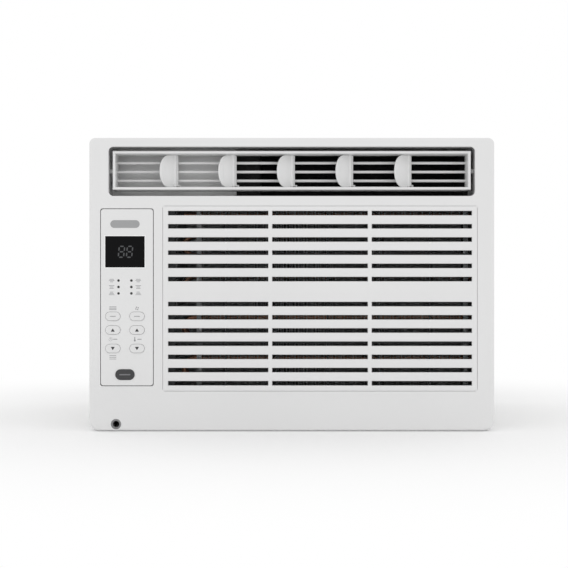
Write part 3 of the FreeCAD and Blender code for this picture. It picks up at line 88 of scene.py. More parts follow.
# ---------------------------------------------------------------- materials
class Shader:
    """Adds and links the nodes of one material."""

    def __init__(self, name: str) -> None:
        """Starts an empty node tree with a principled shader.

        Args:
            name: The material's name.
        """
        self.material = bpy.data.materials.new(name)
        self.material.use_nodes = True
        self.tree = self.material.node_tree
        self.surface = self.tree.nodes["Principled BSDF"]

    def add(self, kind: str, **values: object) -> bpy.types.Node:
        """Adds a node and sets its sockets by name, with _ for a space.

        Args:
            kind: Blender's node type.
            values: Socket values.

        Returns:
            The new node.
        """
        node = self.tree.nodes.new(kind)
        for key, value in values.items():
            node.inputs[key.replace("_", " ")].default_value = value
        return node

    def link(self, source: bpy.types.NodeSocket, target: bpy.types.NodeSocket) -> None:
        """Links one socket to another.

        Args:
            source: Output socket.
            target: Input socket.
        """
        self.tree.links.new(source, target)

    def place(self, stretch: Point = (1.0, 1.0, 1.0)) -> bpy.types.NodeSocket:
        """Gives object coordinates, stretched along each axis.

        Args:
            stretch: Scale along X, Y and Z.

        Returns:
            A vector socket.
        """
        source = self.add("ShaderNodeTexCoord")
        mapping = self.add("ShaderNodeMapping", Scale=stretch)
        self.link(source.outputs["Object"], mapping.inputs["Vector"])
        return mapping.outputs["Vector"]

    def noise(self, scale: float, detail: float = 3.0,
              stretch: Point = (1.0, 1.0, 1.0)) -> bpy.types.NodeSocket:
        """Gives a noise value.

        Args:
            scale: Features per metre.
            detail: Octaves.
            stretch: Scale along each axis.

        Returns:
            The noise's value socket.
        """
        node = self.add("ShaderNodeTexNoise", Scale=scale, Detail=detail)
        self.link(self.place(stretch), node.inputs["Vector"])
        return node.outputs["Fac"]

    def cells(self, scale: float, output: str = "Distance") -> bpy.types.NodeSocket:
        """Gives a cell pattern.

        Args:
            scale: Cells per metre.
            output: Socket of the Voronoi node.

        Returns:
            The chosen socket.
        """
        node = self.add("ShaderNodeTexVoronoi", Scale=scale)
        self.link(self.place(), node.inputs["Vector"])
        return node.outputs[output]

    def spread(self, value: bpy.types.NodeSocket, low: float, high: float) -> bpy.types.NodeSocket:
        """Maps a 0 to 1 value onto a range.

        Args:
            value: Socket to map.
            low: Result at 0.
            high: Result at 1.

        Returns:
            The mapped socket.
        """
        node = self.add("ShaderNodeMapRange", To_Min=low, To_Max=high)
        self.link(value, node.inputs["Value"])
        return node.outputs["Result"]

    def gloss(self, value: bpy.types.NodeSocket, middle: float, less: float, more: float) -> None:
        """Varies the roughness about its middle.

        Args:
            value: Socket that runs from 0 to 1.
            middle: Roughness of the finish.
            less: How far it falls where the value is 0.
            more: How far it rises where the value is 1.
        """
        self.link(self.spread(value, middle - less, middle + more), self.surface.inputs["Roughness"])

    def tint(self, value: bpy.types.NodeSocket, color: Sequence[float], change: float) -> None:
        """Drives the base colour between a darker and a lighter shade.

        Args:
            value: Socket that runs from 0 to 1.
            color: Linear RGB.
            change: Share by which the shade varies each way.
        """
        ramp = self.add("ShaderNodeValToRGB")
        dark, light = ramp.color_ramp.elements
        for element, factor, at in ((dark, 1 - change, 0.3), (light, 1 + change, 0.7)):
            element.position = at
            element.color = (*[min(1.0, part * factor) for part in color], 1.0)
        self.link(value, ramp.inputs["Fac"])
        self.link(ramp.outputs["Color"], self.surface.inputs["Base Color"])

    def bump(self, value: bpy.types.NodeSocket, height: float, strength: float = 1.0) -> None:
        """Adds a bump of a real height, on top of any bump already there.

        Args:
            value: Height pattern, 0 to 1.
            height: Height of the pattern in metres.
            strength: Share of the bump that is applied.
        """
        node = self.add("ShaderNodeBump", Strength=strength, Distance=height)
        self.link(value, node.inputs["Height"])
        normal = self.surface.inputs["Normal"]
        if normal.is_linked:
            self.link(normal.links[0].from_socket, node.inputs["Normal"])
        self.link(node.outputs["Normal"], normal)


@dataclass(frozen=True)
class Finish:
    """A surface finish, from its colour to its texture. By itself it is moulded plastic.

    Args:
        name: The material's name.
        color: Linear RGB.
        roughness: Middle roughness.
        metallic: 1 on bare metal.
        coat: Clear coat weight.
        specular: Specular level.
    """

    name: str
    color: Tuple[float, float, float]
    roughness: float = 0.45
    metallic: float = 0.0
    coat: float = 0.0
    specular: float = 0.5

    def texture(self, shader: Shader) -> None:
        """Adds the finish's own pattern: a fine spark grain and a slow drift of tone.

        Args:
            shader: The material being built.
        """
        shader.tint(shader.noise(6.0, 2.0), self.color, 0.012)
        shader.gloss(shader.noise(90.0), self.roughness, 0.05, 0.05)
        shader.bump(shader.noise(2600.0, 2.0), 0.00002, 0.35)

    def make(self) -> bpy.types.Material:
        """Builds the material once, and gives the same one after that.

        Returns:
            The Blender material.
        """
        title = f"finish_{self.name}"
        found = bpy.data.materials.get(title)
        if found:
            return found
        shader = Shader(title)
        surface = shader.surface.inputs
        surface["Base Color"].default_value = (*self.color, 1.0)
        surface["Roughness"].default_value = self.roughness
        surface["Metallic"].default_value = self.metallic
        surface["Coat Weight"].default_value = self.coat
        surface["Specular IOR Level"].default_value = self.specular
        self.texture(shader)
        shader.material.diffuse_color = (*self.color, 1.0)
        return shader.material


@dataclass(frozen=True)
class PowderCoat(Finish):
    """Sprayed steel with orange peel and a little dust in its tone."""

    def texture(self, shader: Shader) -> None:
        """Adds orange peel and faint blotches.

        Args:
            shader: The material being built.
        """
        shader.tint(shader.noise(14.0, 4.0), self.color, 0.02)
        shader.gloss(shader.noise(300.0), self.roughness, 0.06, 0.08)
        shader.bump(shader.noise(900.0, 1.0), 0.00004, 0.4)


@dataclass(frozen=True)
class Galvanised(Finish):
    """Zinc coat with flat crystals that differ in tone and gloss."""

    def texture(self, shader: Shader) -> None:
        """Adds the spangle.

        Args:
            shader: The material being built.
        """
        split = shader.add("ShaderNodeSeparateColor")
        shader.link(shader.cells(190.0, "Color"), split.inputs["Color"])
        shader.tint(split.outputs["Red"], self.color, 0.16)
        shader.gloss(split.outputs["Green"], self.roughness, 0.1, 0.12)
        shader.bump(shader.noise(500.0), 0.00002, 0.3)


@dataclass(frozen=True)
class DrawnMetal(Finish):
    """Metal with fine lines along one axis.

    Args:
        along: The axis that the lines follow.
    """

    along: Axis = Axis.X

    def texture(self, shader: Shader) -> None:
        """Adds drawing lines and handling stains.

        Args:
            shader: The material being built.
        """
        stretch = [60.0, 60.0, 60.0]
        stretch[self.along.value] = 1.0
        lines = shader.noise(22.0, 3.0, tuple(stretch))
        shader.tint(shader.noise(30.0, 4.0), self.color, 0.09)
        shader.gloss(lines, self.roughness, 0.1, 0.14)
        shader.bump(lines, 0.00002, 0.3)


@dataclass(frozen=True)
class BeadFoam(Finish):
    """Expanded foam with its packed beads."""

    def texture(self, shader: Shader) -> None:
        """Adds beads a few millimetres across.

        Args:
            shader: The material being built.
        """
        beads = shader.cells(300.0)
        shader.tint(beads, self.color, 0.05)
        shader.bump(beads, 0.0006, 0.6)


@dataclass(frozen=True)
class CircuitBoard(Finish):
    """Solder mask over copper tracks."""

    def texture(self, shader: Shader) -> None:
        """Adds tracks that run up and across the board.

        Args:
            shader: The material being built.
        """
        bricks = shader.add("ShaderNodeTexBrick", Scale=160.0, Mortar_Size=0.06)
        turned = shader.add("ShaderNodeMapping", Rotation=(math.pi / 2, 0.0, 0.0))
        source = shader.add("ShaderNodeTexCoord")
        shader.link(source.outputs["Object"], turned.inputs["Vector"])
        shader.link(turned.outputs["Vector"], bricks.inputs["Vector"])
        shader.tint(bricks.outputs["Fac"], self.color, 0.35)
        shader.bump(bricks.outputs["Fac"], 0.00005, 0.5)


@dataclass(frozen=True)
class Moulded(Finish):
    """Coarser moulded plastic or rubber, with a visible grain."""

    def texture(self, shader: Shader) -> None:
        """Adds a leathery grain and a rubbed tone.

        Args:
            shader: The material being built.
        """
        shader.tint(shader.noise(45.0, 4.0), self.color, 0.12)
        shader.gloss(shader.noise(120.0), self.roughness, 0.08, 0.08)
        shader.bump(shader.cells(1500.0), 0.00005, 0.4)


class Palette:
    """The finishes of the whole unit."""

    PANEL = Finish("panel_plastic", (0.738, 0.738, 0.738), 0.40)
    KEY = Finish("key_plastic", (0.72, 0.72, 0.72), 0.36)
    # Display rim: panel plastic painted lighter as a highlight along its edge.
    RIM_PAINTED_HIGHLIGHT = Finish("rim_plastic", (0.86, 0.86, 0.86), 0.3)
    BADGE = Finish("badge_plastic", (0.33, 0.333, 0.338), 0.35)
    WINDOW = Finish("smoked_window", (0.003, 0.003, 0.0035), 0.10, specular=0.08)
    SEGMENT = Finish("dim_segment", (0.09, 0.092, 0.095), 0.4, specular=0.1)
    LENS = Finish("lens_plastic", (0.012, 0.012, 0.012), 0.3)
    PRINT = Finish("legend_ink", (0.30, 0.30, 0.31), 0.6)
    ARROW = Finish("arrow_ink", (0.018, 0.018, 0.02), 0.55)
    POWER = Finish("power_key", (0.05, 0.05, 0.052), 0.45, specular=0.3)
    POWER_MARK = Finish("power_mark", (0.20, 0.20, 0.21), 0.5, specular=0.25)
    DARK = Moulded("dark_plastic", (0.012, 0.012, 0.013), 0.55)
    FILTER = Moulded("filter_plastic", (0.022, 0.024, 0.026), 0.6)
    # Near-black net: painted shade standing in for the dark inside of the intake slots.
    NET_PAINTED_SHADE = Moulded("filter_net", (0.010, 0.010, 0.011), 0.75)
    RUBBER = Moulded("black_rubber", (0.014, 0.014, 0.014), 0.8)
    GREY_RUBBER = Moulded("grey_rubber", (0.20, 0.20, 0.205), 0.75)
    # Near-black foam: painted shade for the dark inside of the outlet; the duct foam itself is white.
    FOAM_PAINTED_SHADE = BeadFoam("bead_foam", (0.018, 0.018, 0.019), 0.9)
    ZINC = Galvanised("zinc_sheet", (0.56, 0.57, 0.58), 0.38, metallic=1.0)
    CABINET = PowderCoat("cabinet_paint", (0.66, 0.66, 0.65), 0.48)
    BLACK_PAINT = PowderCoat("black_paint", (0.012, 0.012, 0.013), 0.35)
    GUARD = PowderCoat("guard_paint", (0.10, 0.103, 0.107), 0.42)
    STEEL = DrawnMetal("plated_steel", (0.55, 0.55, 0.56), 0.3, metallic=1.0)
    CAN = DrawnMetal("drawn_can", (0.70, 0.70, 0.71), 0.32, metallic=1.0, along=Axis.Z)
    COPPER = DrawnMetal("copper_tube", (0.72, 0.36, 0.22), 0.3, metallic=1.0)
    FIN = DrawnMetal("fin_stock", (0.78, 0.79, 0.80), 0.32, metallic=0.6, along=Axis.Z)
    BOARD = CircuitBoard("circuit_board", (0.02, 0.12, 0.05), 0.4)


# ---------------------------------------------------------------- mesh building
class Solid:
    """Gathers closed shapes into one mesh, then turns them into a piece."""

    def __init__(self) -> None:
        """Starts with nothing."""
        self.mesh = bmesh.new()

    def box(self, low: Sequence[float], high: Sequence[float], edge: float = 0.0) -> "Solid":
        """Adds a box with rounded edges.

        Args:
            low: Lowest corner.
            high: Highest corner.
            edge: Radius of its edges.

        Returns:
            This solid.
        """
        size = [b - a for a, b in zip(low, high)]
        middle = [(a + b) / 2 for a, b in zip(low, high)]
        made = bmesh.ops.create_cube(self.mesh, size=1.0)["verts"]
        bmesh.ops.scale(self.mesh, vec=size, verts=made)
        bmesh.ops.translate(self.mesh, vec=middle, verts=made)
        if edge > 0:
            edges = list({e for v in made for e in v.link_edges})
            bmesh.ops.bevel(self.mesh, geom=edges, offset=min(edge, 0.45 * min(size)), segments=3,
                            profile=0.5, affect="EDGES")
        return self

    def prism(self, outline: Sequence[Tuple[float, float]], axis: Axis, start: float, end: float,
              edge: float = 0.0) -> "Solid":
        """Draws an outline out along an axis.

        Args:
            outline: Section corners in order.
            axis: Direction of the drawing out.
            start: Where the first end is.
            end: Where the second end is.
            edge: Radius of the rims of the two ends.

        Returns:
            This solid.
        """
        rings = [[self.mesh.verts.new(axis.place(u, v, at)) for u, v in outline] for at in (start, end)]
        caps = [self.mesh.faces.new(ring) for ring in rings]
        count = len(outline)
        sides = []
        for k in range(count):
            after = (k + 1) % count
            sides.append(self.mesh.faces.new((rings[0][k], rings[0][after], rings[1][after], rings[1][k])))
        bmesh.ops.recalc_face_normals(self.mesh, faces=caps + sides)
        if edge > 0:
            rims = list({e for cap in caps for e in cap.edges})
            bmesh.ops.bevel(self.mesh, geom=rims, offset=edge, segments=2, profile=0.5, affect="EDGES")
        return self

    def lathe(self, profile: Sequence[Tuple[float, float]], centre: Sequence[float], axis: Axis,
              steps: int = 48) -> "Solid":
        """Turns a profile round an axis; a profile that starts and ends at radius 0 closes itself.

        Args:
            profile: Radius and distance along the axis, from one end to the other.
            centre: A point on the axis; distances along it are absolute.
            axis: Axis of the turning.
            steps: Facets round the axis.

        Returns:
            This solid.
        """
        cu, cv = [c for k, c in enumerate(centre) if k != axis.value]
        rings = []
        for radius, along in profile:
            if radius <= 0:
                rings.append([self.mesh.verts.new(axis.place(cu, cv, along))])
                continue
            turn = [2 * math.pi * k / steps for k in range(steps)]
            spots = [axis.place(cu + radius * math.cos(t), cv + radius * math.sin(t), along) for t in turn]
            rings.append([self.mesh.verts.new(spot) for spot in spots])
        made = []
        pairs = list(zip(rings, rings[1:]))
        if len(rings[0]) > 1:
            pairs.append((rings[-1], rings[0]))
        for first, second in pairs:
            for k in range(steps):
                ring = [first[k % len(first)], first[(k + 1) % len(first)],
                        second[(k + 1) % len(second)], second[k % len(second)]]
                corners = list(dict.fromkeys(ring))
                if len(corners) > 2:
                    made.append(self.mesh.faces.new(corners))
        bmesh.ops.recalc_face_normals(self.mesh, faces=made)
        return self

    def rod(self, radius: float, start: float, end: float, centre: Sequence[float], axis: Axis,
            steps: int = 20) -> "Solid":
        """Adds a plain round bar.

        Args:
            radius: Its radius.
            start: Where it starts along the axis.
            end: Where it ends.
            centre: A point on the axis.
            axis: Direction that it runs in.
            steps: Facets round the axis.

        Returns:
            This solid.
        """
        return self.lathe([(0, start), (radius, start), (radius, end), (0, end)], centre, axis, steps)

    def grid(self, us: Sequence[float], vs: Sequence[float], holes: Iterable[Tuple[int, int]], axis: Axis,
             front: float, back: float, edge: float) -> "Solid":
        """Makes a plate with rectangular holes and softened front rims.

        Args:
            us: Cut lines along the first section axis.
            vs: Cut lines along the second section axis.
            holes: Cells that are left open.
            axis: Direction of the plate's thickness.
            front: Place of the face that has the soft rims.
            back: Place of the other face.
            edge: Radius of those rims.

        Returns:
            This solid.
        """
        open_cells = set(holes)
        layers = [[[self.mesh.verts.new(axis.place(u, v, at)) for v in vs] for u in us] for at in (front, back)]
        made = []
        facing = []
        plate = [(i, j) for i in range(len(us) - 1) for j in range(len(vs) - 1) if (i, j) not in open_cells]
        filled = set(plate)
        for i, j in plate:
            for layer in layers:
                ring = (layer[i][j], layer[i + 1][j], layer[i + 1][j + 1], layer[i][j + 1])
                made.append(self.mesh.faces.new(ring))
                if layer is layers[0]:
                    facing.append(made[-1])
            walls = (((i, j), (i + 1, j), (i, j - 1)), ((i + 1, j), (i + 1, j + 1), (i + 1, j)),
                     ((i + 1, j + 1), (i, j + 1), (i, j + 1)), ((i, j + 1), (i, j), (i - 1, j)))
            for (a, b), (c, d), beside in walls:
                if beside not in filled:
                    corners = (layers[0][a][b], layers[0][c][d], layers[1][c][d], layers[1][a][b])
                    made.append(self.mesh.faces.new(corners))
        loose = [v for layer in layers for row in layer for v in row if not v.link_faces]
        bmesh.ops.delete(self.mesh, geom=loose, context="VERTS")
        bmesh.ops.recalc_face_normals(self.mesh, faces=made)
        facing_set = set(facing)
        rims = [e for face in facing for e in face.edges if not all(f in facing_set for f in e.link_faces)]
        bmesh.ops.bevel(self.mesh, geom=list(set(rims)), offset=edge, segments=2, profile=0.5, affect="EDGES")
        return self

    def turn(self, angle: float, axis: Axis) -> "Solid":
        """Turns everything gathered so far about an axis through the origin.

        Args:
            angle: Degrees, by the right-hand rule.
            axis: Axis of the turn.

        Returns:
            This solid.
        """
        rotation = Matrix.Rotation(math.radians(angle), 3, axis.name)
        bmesh.ops.rotate(self.mesh, cent=ORIGIN, matrix=rotation, verts=self.mesh.verts)
        return self

    def shift(self, x: float, y: float, z: float) -> "Solid":
        """Moves everything gathered so far.

        Args:
            x: Distance to the right.
            y: Distance outdoors.
            z: Distance up.

        Returns:
            This solid.
        """
        bmesh.ops.translate(self.mesh, vec=(x, y, z), verts=self.mesh.verts)
        return self

    def join(self, other: "Solid") -> "Solid":
        """Takes in the shapes of another solid, which ends there.

        Args:
            other: The solid that is taken in.

        Returns:
            This solid.
        """
        loose = bpy.data.meshes.new("loose")
        other.mesh.to_mesh(loose)
        other.mesh.free()
        self.mesh.from_mesh(loose)
        bpy.data.meshes.remove(loose)
        return self

    def repeat(self, count: int, axis: Axis) -> "Solid":
        """Copies everything gathered so far evenly round an axis through the origin.

        Args:
            count: Number of copies, with the first.
            axis: Axis of the circle.

        Returns:
            This solid.
        """
        first = self.mesh.verts[:] + self.mesh.edges[:] + self.mesh.faces[:]
        for k in range(1, count):
            copy = bmesh.ops.duplicate(self.mesh, geom=first)["geom"]
            verts = [item for item in copy if isinstance(item, bmesh.types.BMVert)]
            rotation = Matrix.Rotation(2 * math.pi * k / count, 3, axis.name)
            bmesh.ops.rotate(self.mesh, cent=ORIGIN, matrix=rotation, verts=verts)
        return self

    def piece(self, name: str, finish: Finish, body: str, slot: Optional[str] = None,
              replaces: Sequence[str] = (), smooth: float = 35.0) -> bpy.types.Object:
        """Turns the gathered mesh into a piece that rides on a CAD body.

        Args:
            name: Name of the piece.
            finish: Its finish.
            body: CAD body that it moves with.
            slot: Material slot of the record; not used.
            replaces: CAD nodes that it stands for.
            smooth: Largest angle in degrees that shades smoothly.

        Returns:
            The Blender object.
        """
        data = bpy.data.meshes.new(name)
        self.mesh.to_mesh(data)
        self.mesh.free()
        data.shade_smooth()
        data.set_sharp_from_angle(angle=math.radians(smooth))
        made = bpy.data.objects.new(name, data)
        bpy.context.scene.collection.objects.link(made)
        data.materials.append(finish.make())
        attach(made, body)
        if replaces:
            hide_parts(*replaces)
        LOG.info("piece %s on %s, %d faces", name, body, len(data.polygons))
        return made


def rounded(u0: float, u1: float, v0: float, v1: float, radius: float,
            steps: int = 6) -> List[Tuple[float, float]]:
    """Gives the outline of a rectangle with round corners.

    Args:
        u0: Low first coordinate.
        u1: High first coordinate.
        v0: Low second coordinate.
        v1: High second coordinate.
        radius: Corner radius.
        steps: Steps in each corner.

    Returns:
        Outline points in order.
    """
    corners = ((u1 - radius, v1 - radius, 0), (u0 + radius, v1 - radius, 90),
               (u0 + radius, v0 + radius, 180), (u1 - radius, v0 + radius, 270))
    outline = []
    for cu, cv, start in corners:
        for k in range(steps + 1):
            turn = math.radians(start + 90 * k / steps)
            outline.append((cu + radius * math.cos(turn), cv + radius * math.sin(turn)))
    return outline


def middle_of(node: str) -> Vector:
    """Gives the middle of a CAD node's box.

    Args:
        node: Name of the node.

    Returns:
        The middle.
    """
    low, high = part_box(node)
    return (low + high) / 2


def spaced(low: float, high: float, count: int) -> List[float]:
    """Spaces values evenly from low to high, with both ends.

    Args:
        low: First value.
        high: Last value.
        count: Number of values.

    Returns:
        The values.
    """
    return [low + (high - low) * k / (count - 1) for k in range(count)]


# ---------------------------------------------------------------- front of the unit
@dataclass
class IntakeGrille:
    """Slotted plate in three columns, with an upper and a lower bank of slots."""

    low: Vector
    high: Vector
    rim: float = 3.0 * MM
    gap: float = 0.2 * MM
    slot_side: float = 6.4 * MM
    rib: float = 4.6 * MM
    middle: float = 110.8 * MM
    slot: float = 5.2 * MM
    top_margin: float = 8.4 * MM
    bottom_margin: float = 9.3 * MM
    plain_bar: float = 29.0 * MM
    upper: int = 6
    lower: int = 7
    soft: float = 0.7 * MM
    thick: float = 3.0 * MM
    lap: float = 2.0 * MM
    bead: float = 1.5 * MM
    bead_soft: float = 0.3 * MM

    def columns(self) -> List[Tuple[float, float]]:
        """Gives the two sides of each column of slots.

        Returns:
            Pairs of X values.
        """
        left = self.low.x + self.rim + self.slot_side
        right = self.high.x - self.rim - self.slot_side
        side = (right - left - self.middle - 2 * self.rib) / 2
        centre = left + side + self.rib
        return [(left, left + side), (centre, centre + self.middle), (right - side, right)]

    def rows(self) -> List[float]:
        """Gives the height of the middle of each row of slots, from the lowest.

        Returns:
            Z values.
        """
        top = self.high.z - self.rim - self.top_margin
        bottom = self.low.z + self.rim + self.bottom_margin
        pitch = (top - bottom - self.plain_bar) / (self.upper + self.lower - 2)
        low_bank = [bottom + pitch * k for k in range(self.lower)]
        return low_bank + [top - pitch * k for k in reversed(range(self.upper))]

    def build(self) -> bpy.types.Object:
        """Builds the plate and its retaining rim.

        Returns:
            The grille.
        """
        margin = self.rim + self.gap
        us = [self.low.x + margin] + [x for pair in self.columns() for x in pair] + [self.high.x - margin]
        vs = [self.low.z + margin]
        for z in self.rows():
            vs += [z - self.slot / 2, z + self.slot / 2]
        vs.append(self.high.z - margin)
        holes = [(i, j) for i in (1, 3, 5) for j in range(1, len(vs) - 1, 2)]
        low, high = self.low, self.high
        solid = Solid().grid(us, vs, holes, Axis.Y, low.y, low.y + self.thick, self.soft)
        beads = ((low.x, us[0] + self.lap, low.z, high.z), (us[-1] - self.lap, high.x, low.z, high.z),
                 (low.x, high.x, low.z, vs[0] + self.lap), (low.x, high.x, vs[-1] - self.lap, high.z))
        for x0, x1, z0, z1 in beads:
            solid.box((x0, high.y - self.bead, z0), (x1, high.y, z1), self.bead_soft)
        return solid.piece("intake_grille_face", Palette.PANEL, "chassis", "panel_plastic", ["intake_grille"])


@dataclass
class Deflector:
    """Tilting frame with rounded rails and slats."""

    low: Vector
    high: Vector
    pin: float = 2.95 * MM
    pin_length: float = 8.5 * MM
    rail: float = 3.2 * MM
    slat: float = 3.2 * MM
    slat_depth: float = 9.0 * MM
    slats: int = 3
    end_plate: float = 3.0 * MM
    rail_round: float = 1.5 * MM
    corner: float = 3.0 * MM
    end_soft: float = 0.5 * MM
    tail: float = 0.55
    taper: float = 1.0 * MM
    sunk: float = 1.0 * MM

    def blade(self, z: float, front: float, back: float) -> List[Tuple[float, float]]:
        """Gives the section of one slat, with a round nose and a thinner tail.

        Args:
            z: Height of its middle.
            front: Front of the slat.
            back: Back of the slat.

        Returns:
            Outline points in Y and Z.
        """
        half = self.slat / 2
        nose = []
        for k in range(9):
            turn = math.radians(90 + 22.5 * k)
            nose.append((front + half + half * math.cos(turn), z + half * math.sin(turn)))
        thin = half * self.tail
        return nose + [(back - self.taper, z - thin), (back, z), (back - self.taper, z + thin)]

    def build(self) -> bpy.types.Object:
        """Builds the frame.

        Returns:
            The deflector.
        """
        x0, x1 = self.low.x + self.pin_length, self.high.x - self.pin_length
        y0, y1, z0, z1 = self.low.y, self.high.y, self.low.z, self.high.z
        solid = Solid()
        for base in (z0, z1 - self.rail):
            solid.prism(rounded(y0, y1, base, base + self.rail, self.rail_round), Axis.X, x0, x1)
        for side in (x0, x1 - self.end_plate):
            outline = rounded(y0, y1, z0, z1, self.corner)
            solid.prism(outline, Axis.X, side, side + self.end_plate, self.end_soft)
        pitch = (z1 - z0 - self.rail) / (self.slats + 1)
        for k in range(self.slats):
            z = z0 + self.rail / 2 + pitch * (k + 1)
            solid.prism(self.blade(z, y1 - self.slat_depth, y1), Axis.X, x0 + self.sunk, x1 - self.sunk)
        middle = ((x0 + x1) / 2, (y0 + y1) / 2, (z0 + z1) / 2)
        for start, end in ((self.low.x, x0 + self.sunk), (x1 - self.sunk, self.high.x)):
            solid.rod(self.pin, start, end, middle, Axis.X, 32)
        return solid.piece("deflector_louvre", Palette.PANEL, "deflector", "panel_plastic", ["deflector_frame"])


@dataclass
class TurningVane:
    """Upright vane with a D-shaped finger lobe, posed as it stands at rest."""

    number: int
    pivot: Vector
    low: Vector
    high: Vector
    angle: float = -60.0
    chord: float = 20.0 * MM
    tail: float = 4.0 * MM
    thick: float = 1.8 * MM
    soft: float = 0.5 * MM
    straight: float = 0.30
    fullness: float = 0.75
    notch: float = 2.2 * MM
    notch_side: float = 1.9 * MM
    grips: Tuple[float, ...] = (-0.86, -0.76, -0.66)
    grip_half: float = 0.35 * MM
    grip_proud: float = 0.3 * MM
    pin: float = 1.45 * MM
    hub: float = 2.1 * MM
    reach: float = 3.3 * MM
    crank: float = 7.5 * MM
    crank_low: float = 1.9 * MM
    crank_high: float = 3.6 * MM
    crank_half: float = 1.4 * MM
    crank_pin: float = 1.2 * MM
    crank_head: float = 1.6 * MM
    lead: float = 20.0

    def lobe(self) -> List[Tuple[float, float]]:
        """Gives the outline of the lobe and tail in X and Z, before the vane is turned.

        Returns:
            Outline points.
        """
        z0, z1 = self.low.z + self.reach, self.high.z - self.reach
        middle, half = (z0 + z1) / 2, (z1 - z0) / 2
        straight = self.straight * self.chord
        bulge = self.chord - straight
        outline = [(self.tail, z0 + self.notch), (self.tail, z1 - MM), (self.tail - MM, z1), (-straight, z1)]
        for k in range(1, 16):
            turn = math.pi / 2 - math.pi * k / 16
            outline.append((-straight - bulge * math.cos(turn) ** self.fullness, middle + half * math.sin(turn)))
        return outline + [(-straight, z0), (-self.notch_side, z0), (-self.notch_side, z0 + self.notch)]

    def build(self) -> bpy.types.Object:
        """Builds the vane with its grip ribs, hub, pins and crank.

        Returns:
            The vane.
        """
        half = self.thick / 2
        z0, z1 = self.low.z + self.reach, self.high.z - self.reach
        solid = Solid().prism(self.lobe(), Axis.Y, -half, half, self.soft)
        middle = (z0 + z1) / 2
        for at in self.grips:
            span = 0.42 * (z1 - z0) * (1 + at * 0.35)
            for side in (-1, 1):
                x, y = at * self.chord, side * half
                solid.box((x - self.grip_half, y - self.grip_proud, middle - span),
                          (x + self.grip_half, y + self.grip_proud, middle + span), 0.2 * MM)
        solid.rod(self.hub, z0 + 2 * MM, z1, ORIGIN, Axis.Z, 24)
        solid.rod(self.pin, self.low.z, self.high.z, ORIGIN, Axis.Z)
        solid.turn(90 + self.angle, Axis.Z).join(self.arm(z0)).shift(self.pivot.x, self.pivot.y, 0)
        return solid.piece(f"turning_vane_{self.number}", Palette.PANEL, f"vane_body_{self.number}",
                           "panel_plastic", [f"vane_{self.number}"], 40.0)

    def arm(self, base: float) -> Solid:
        """Builds the crank with its headed pin, turned as it stands at rest.

        Args:
            base: Height of the foot of the pin.

        Returns:
            The crank, about the vane's axis.
        """
        low, high = base + self.crank_low, base + self.crank_high
        way = 90 + self.lead + self.angle
        arm = Solid().box((0, -self.crank_half, low), (self.crank, self.crank_half, high), 0.3 * MM)
        arm.turn(way, Axis.Z)
        turn = math.radians(way)
        spot = (self.crank * math.cos(turn), self.crank * math.sin(turn), 0)
        profile = [(0, base), (self.crank_pin, base), (self.crank_pin, low), (self.crank_head, low),
                   (self.crank_head, high), (0, high)]
        return arm.lathe(profile, spot, Axis.Z, 20)


class Segment(Enum):
    """Strokes of a seven-segment digit, as corner pairs on a 1 by 2 grid."""

    TOP = ((0, 2), (1, 2))
    UPPER_LEFT = ((0, 1), (0, 2))
    UPPER_RIGHT = ((1, 1), (1, 2))
    MIDDLE = ((0, 1), (1, 1))
    LOWER_LEFT = ((0, 0), (0, 1))
    LOWER_RIGHT = ((1, 0), (1, 1))
    BOTTOM = ((0, 0), (1, 0))


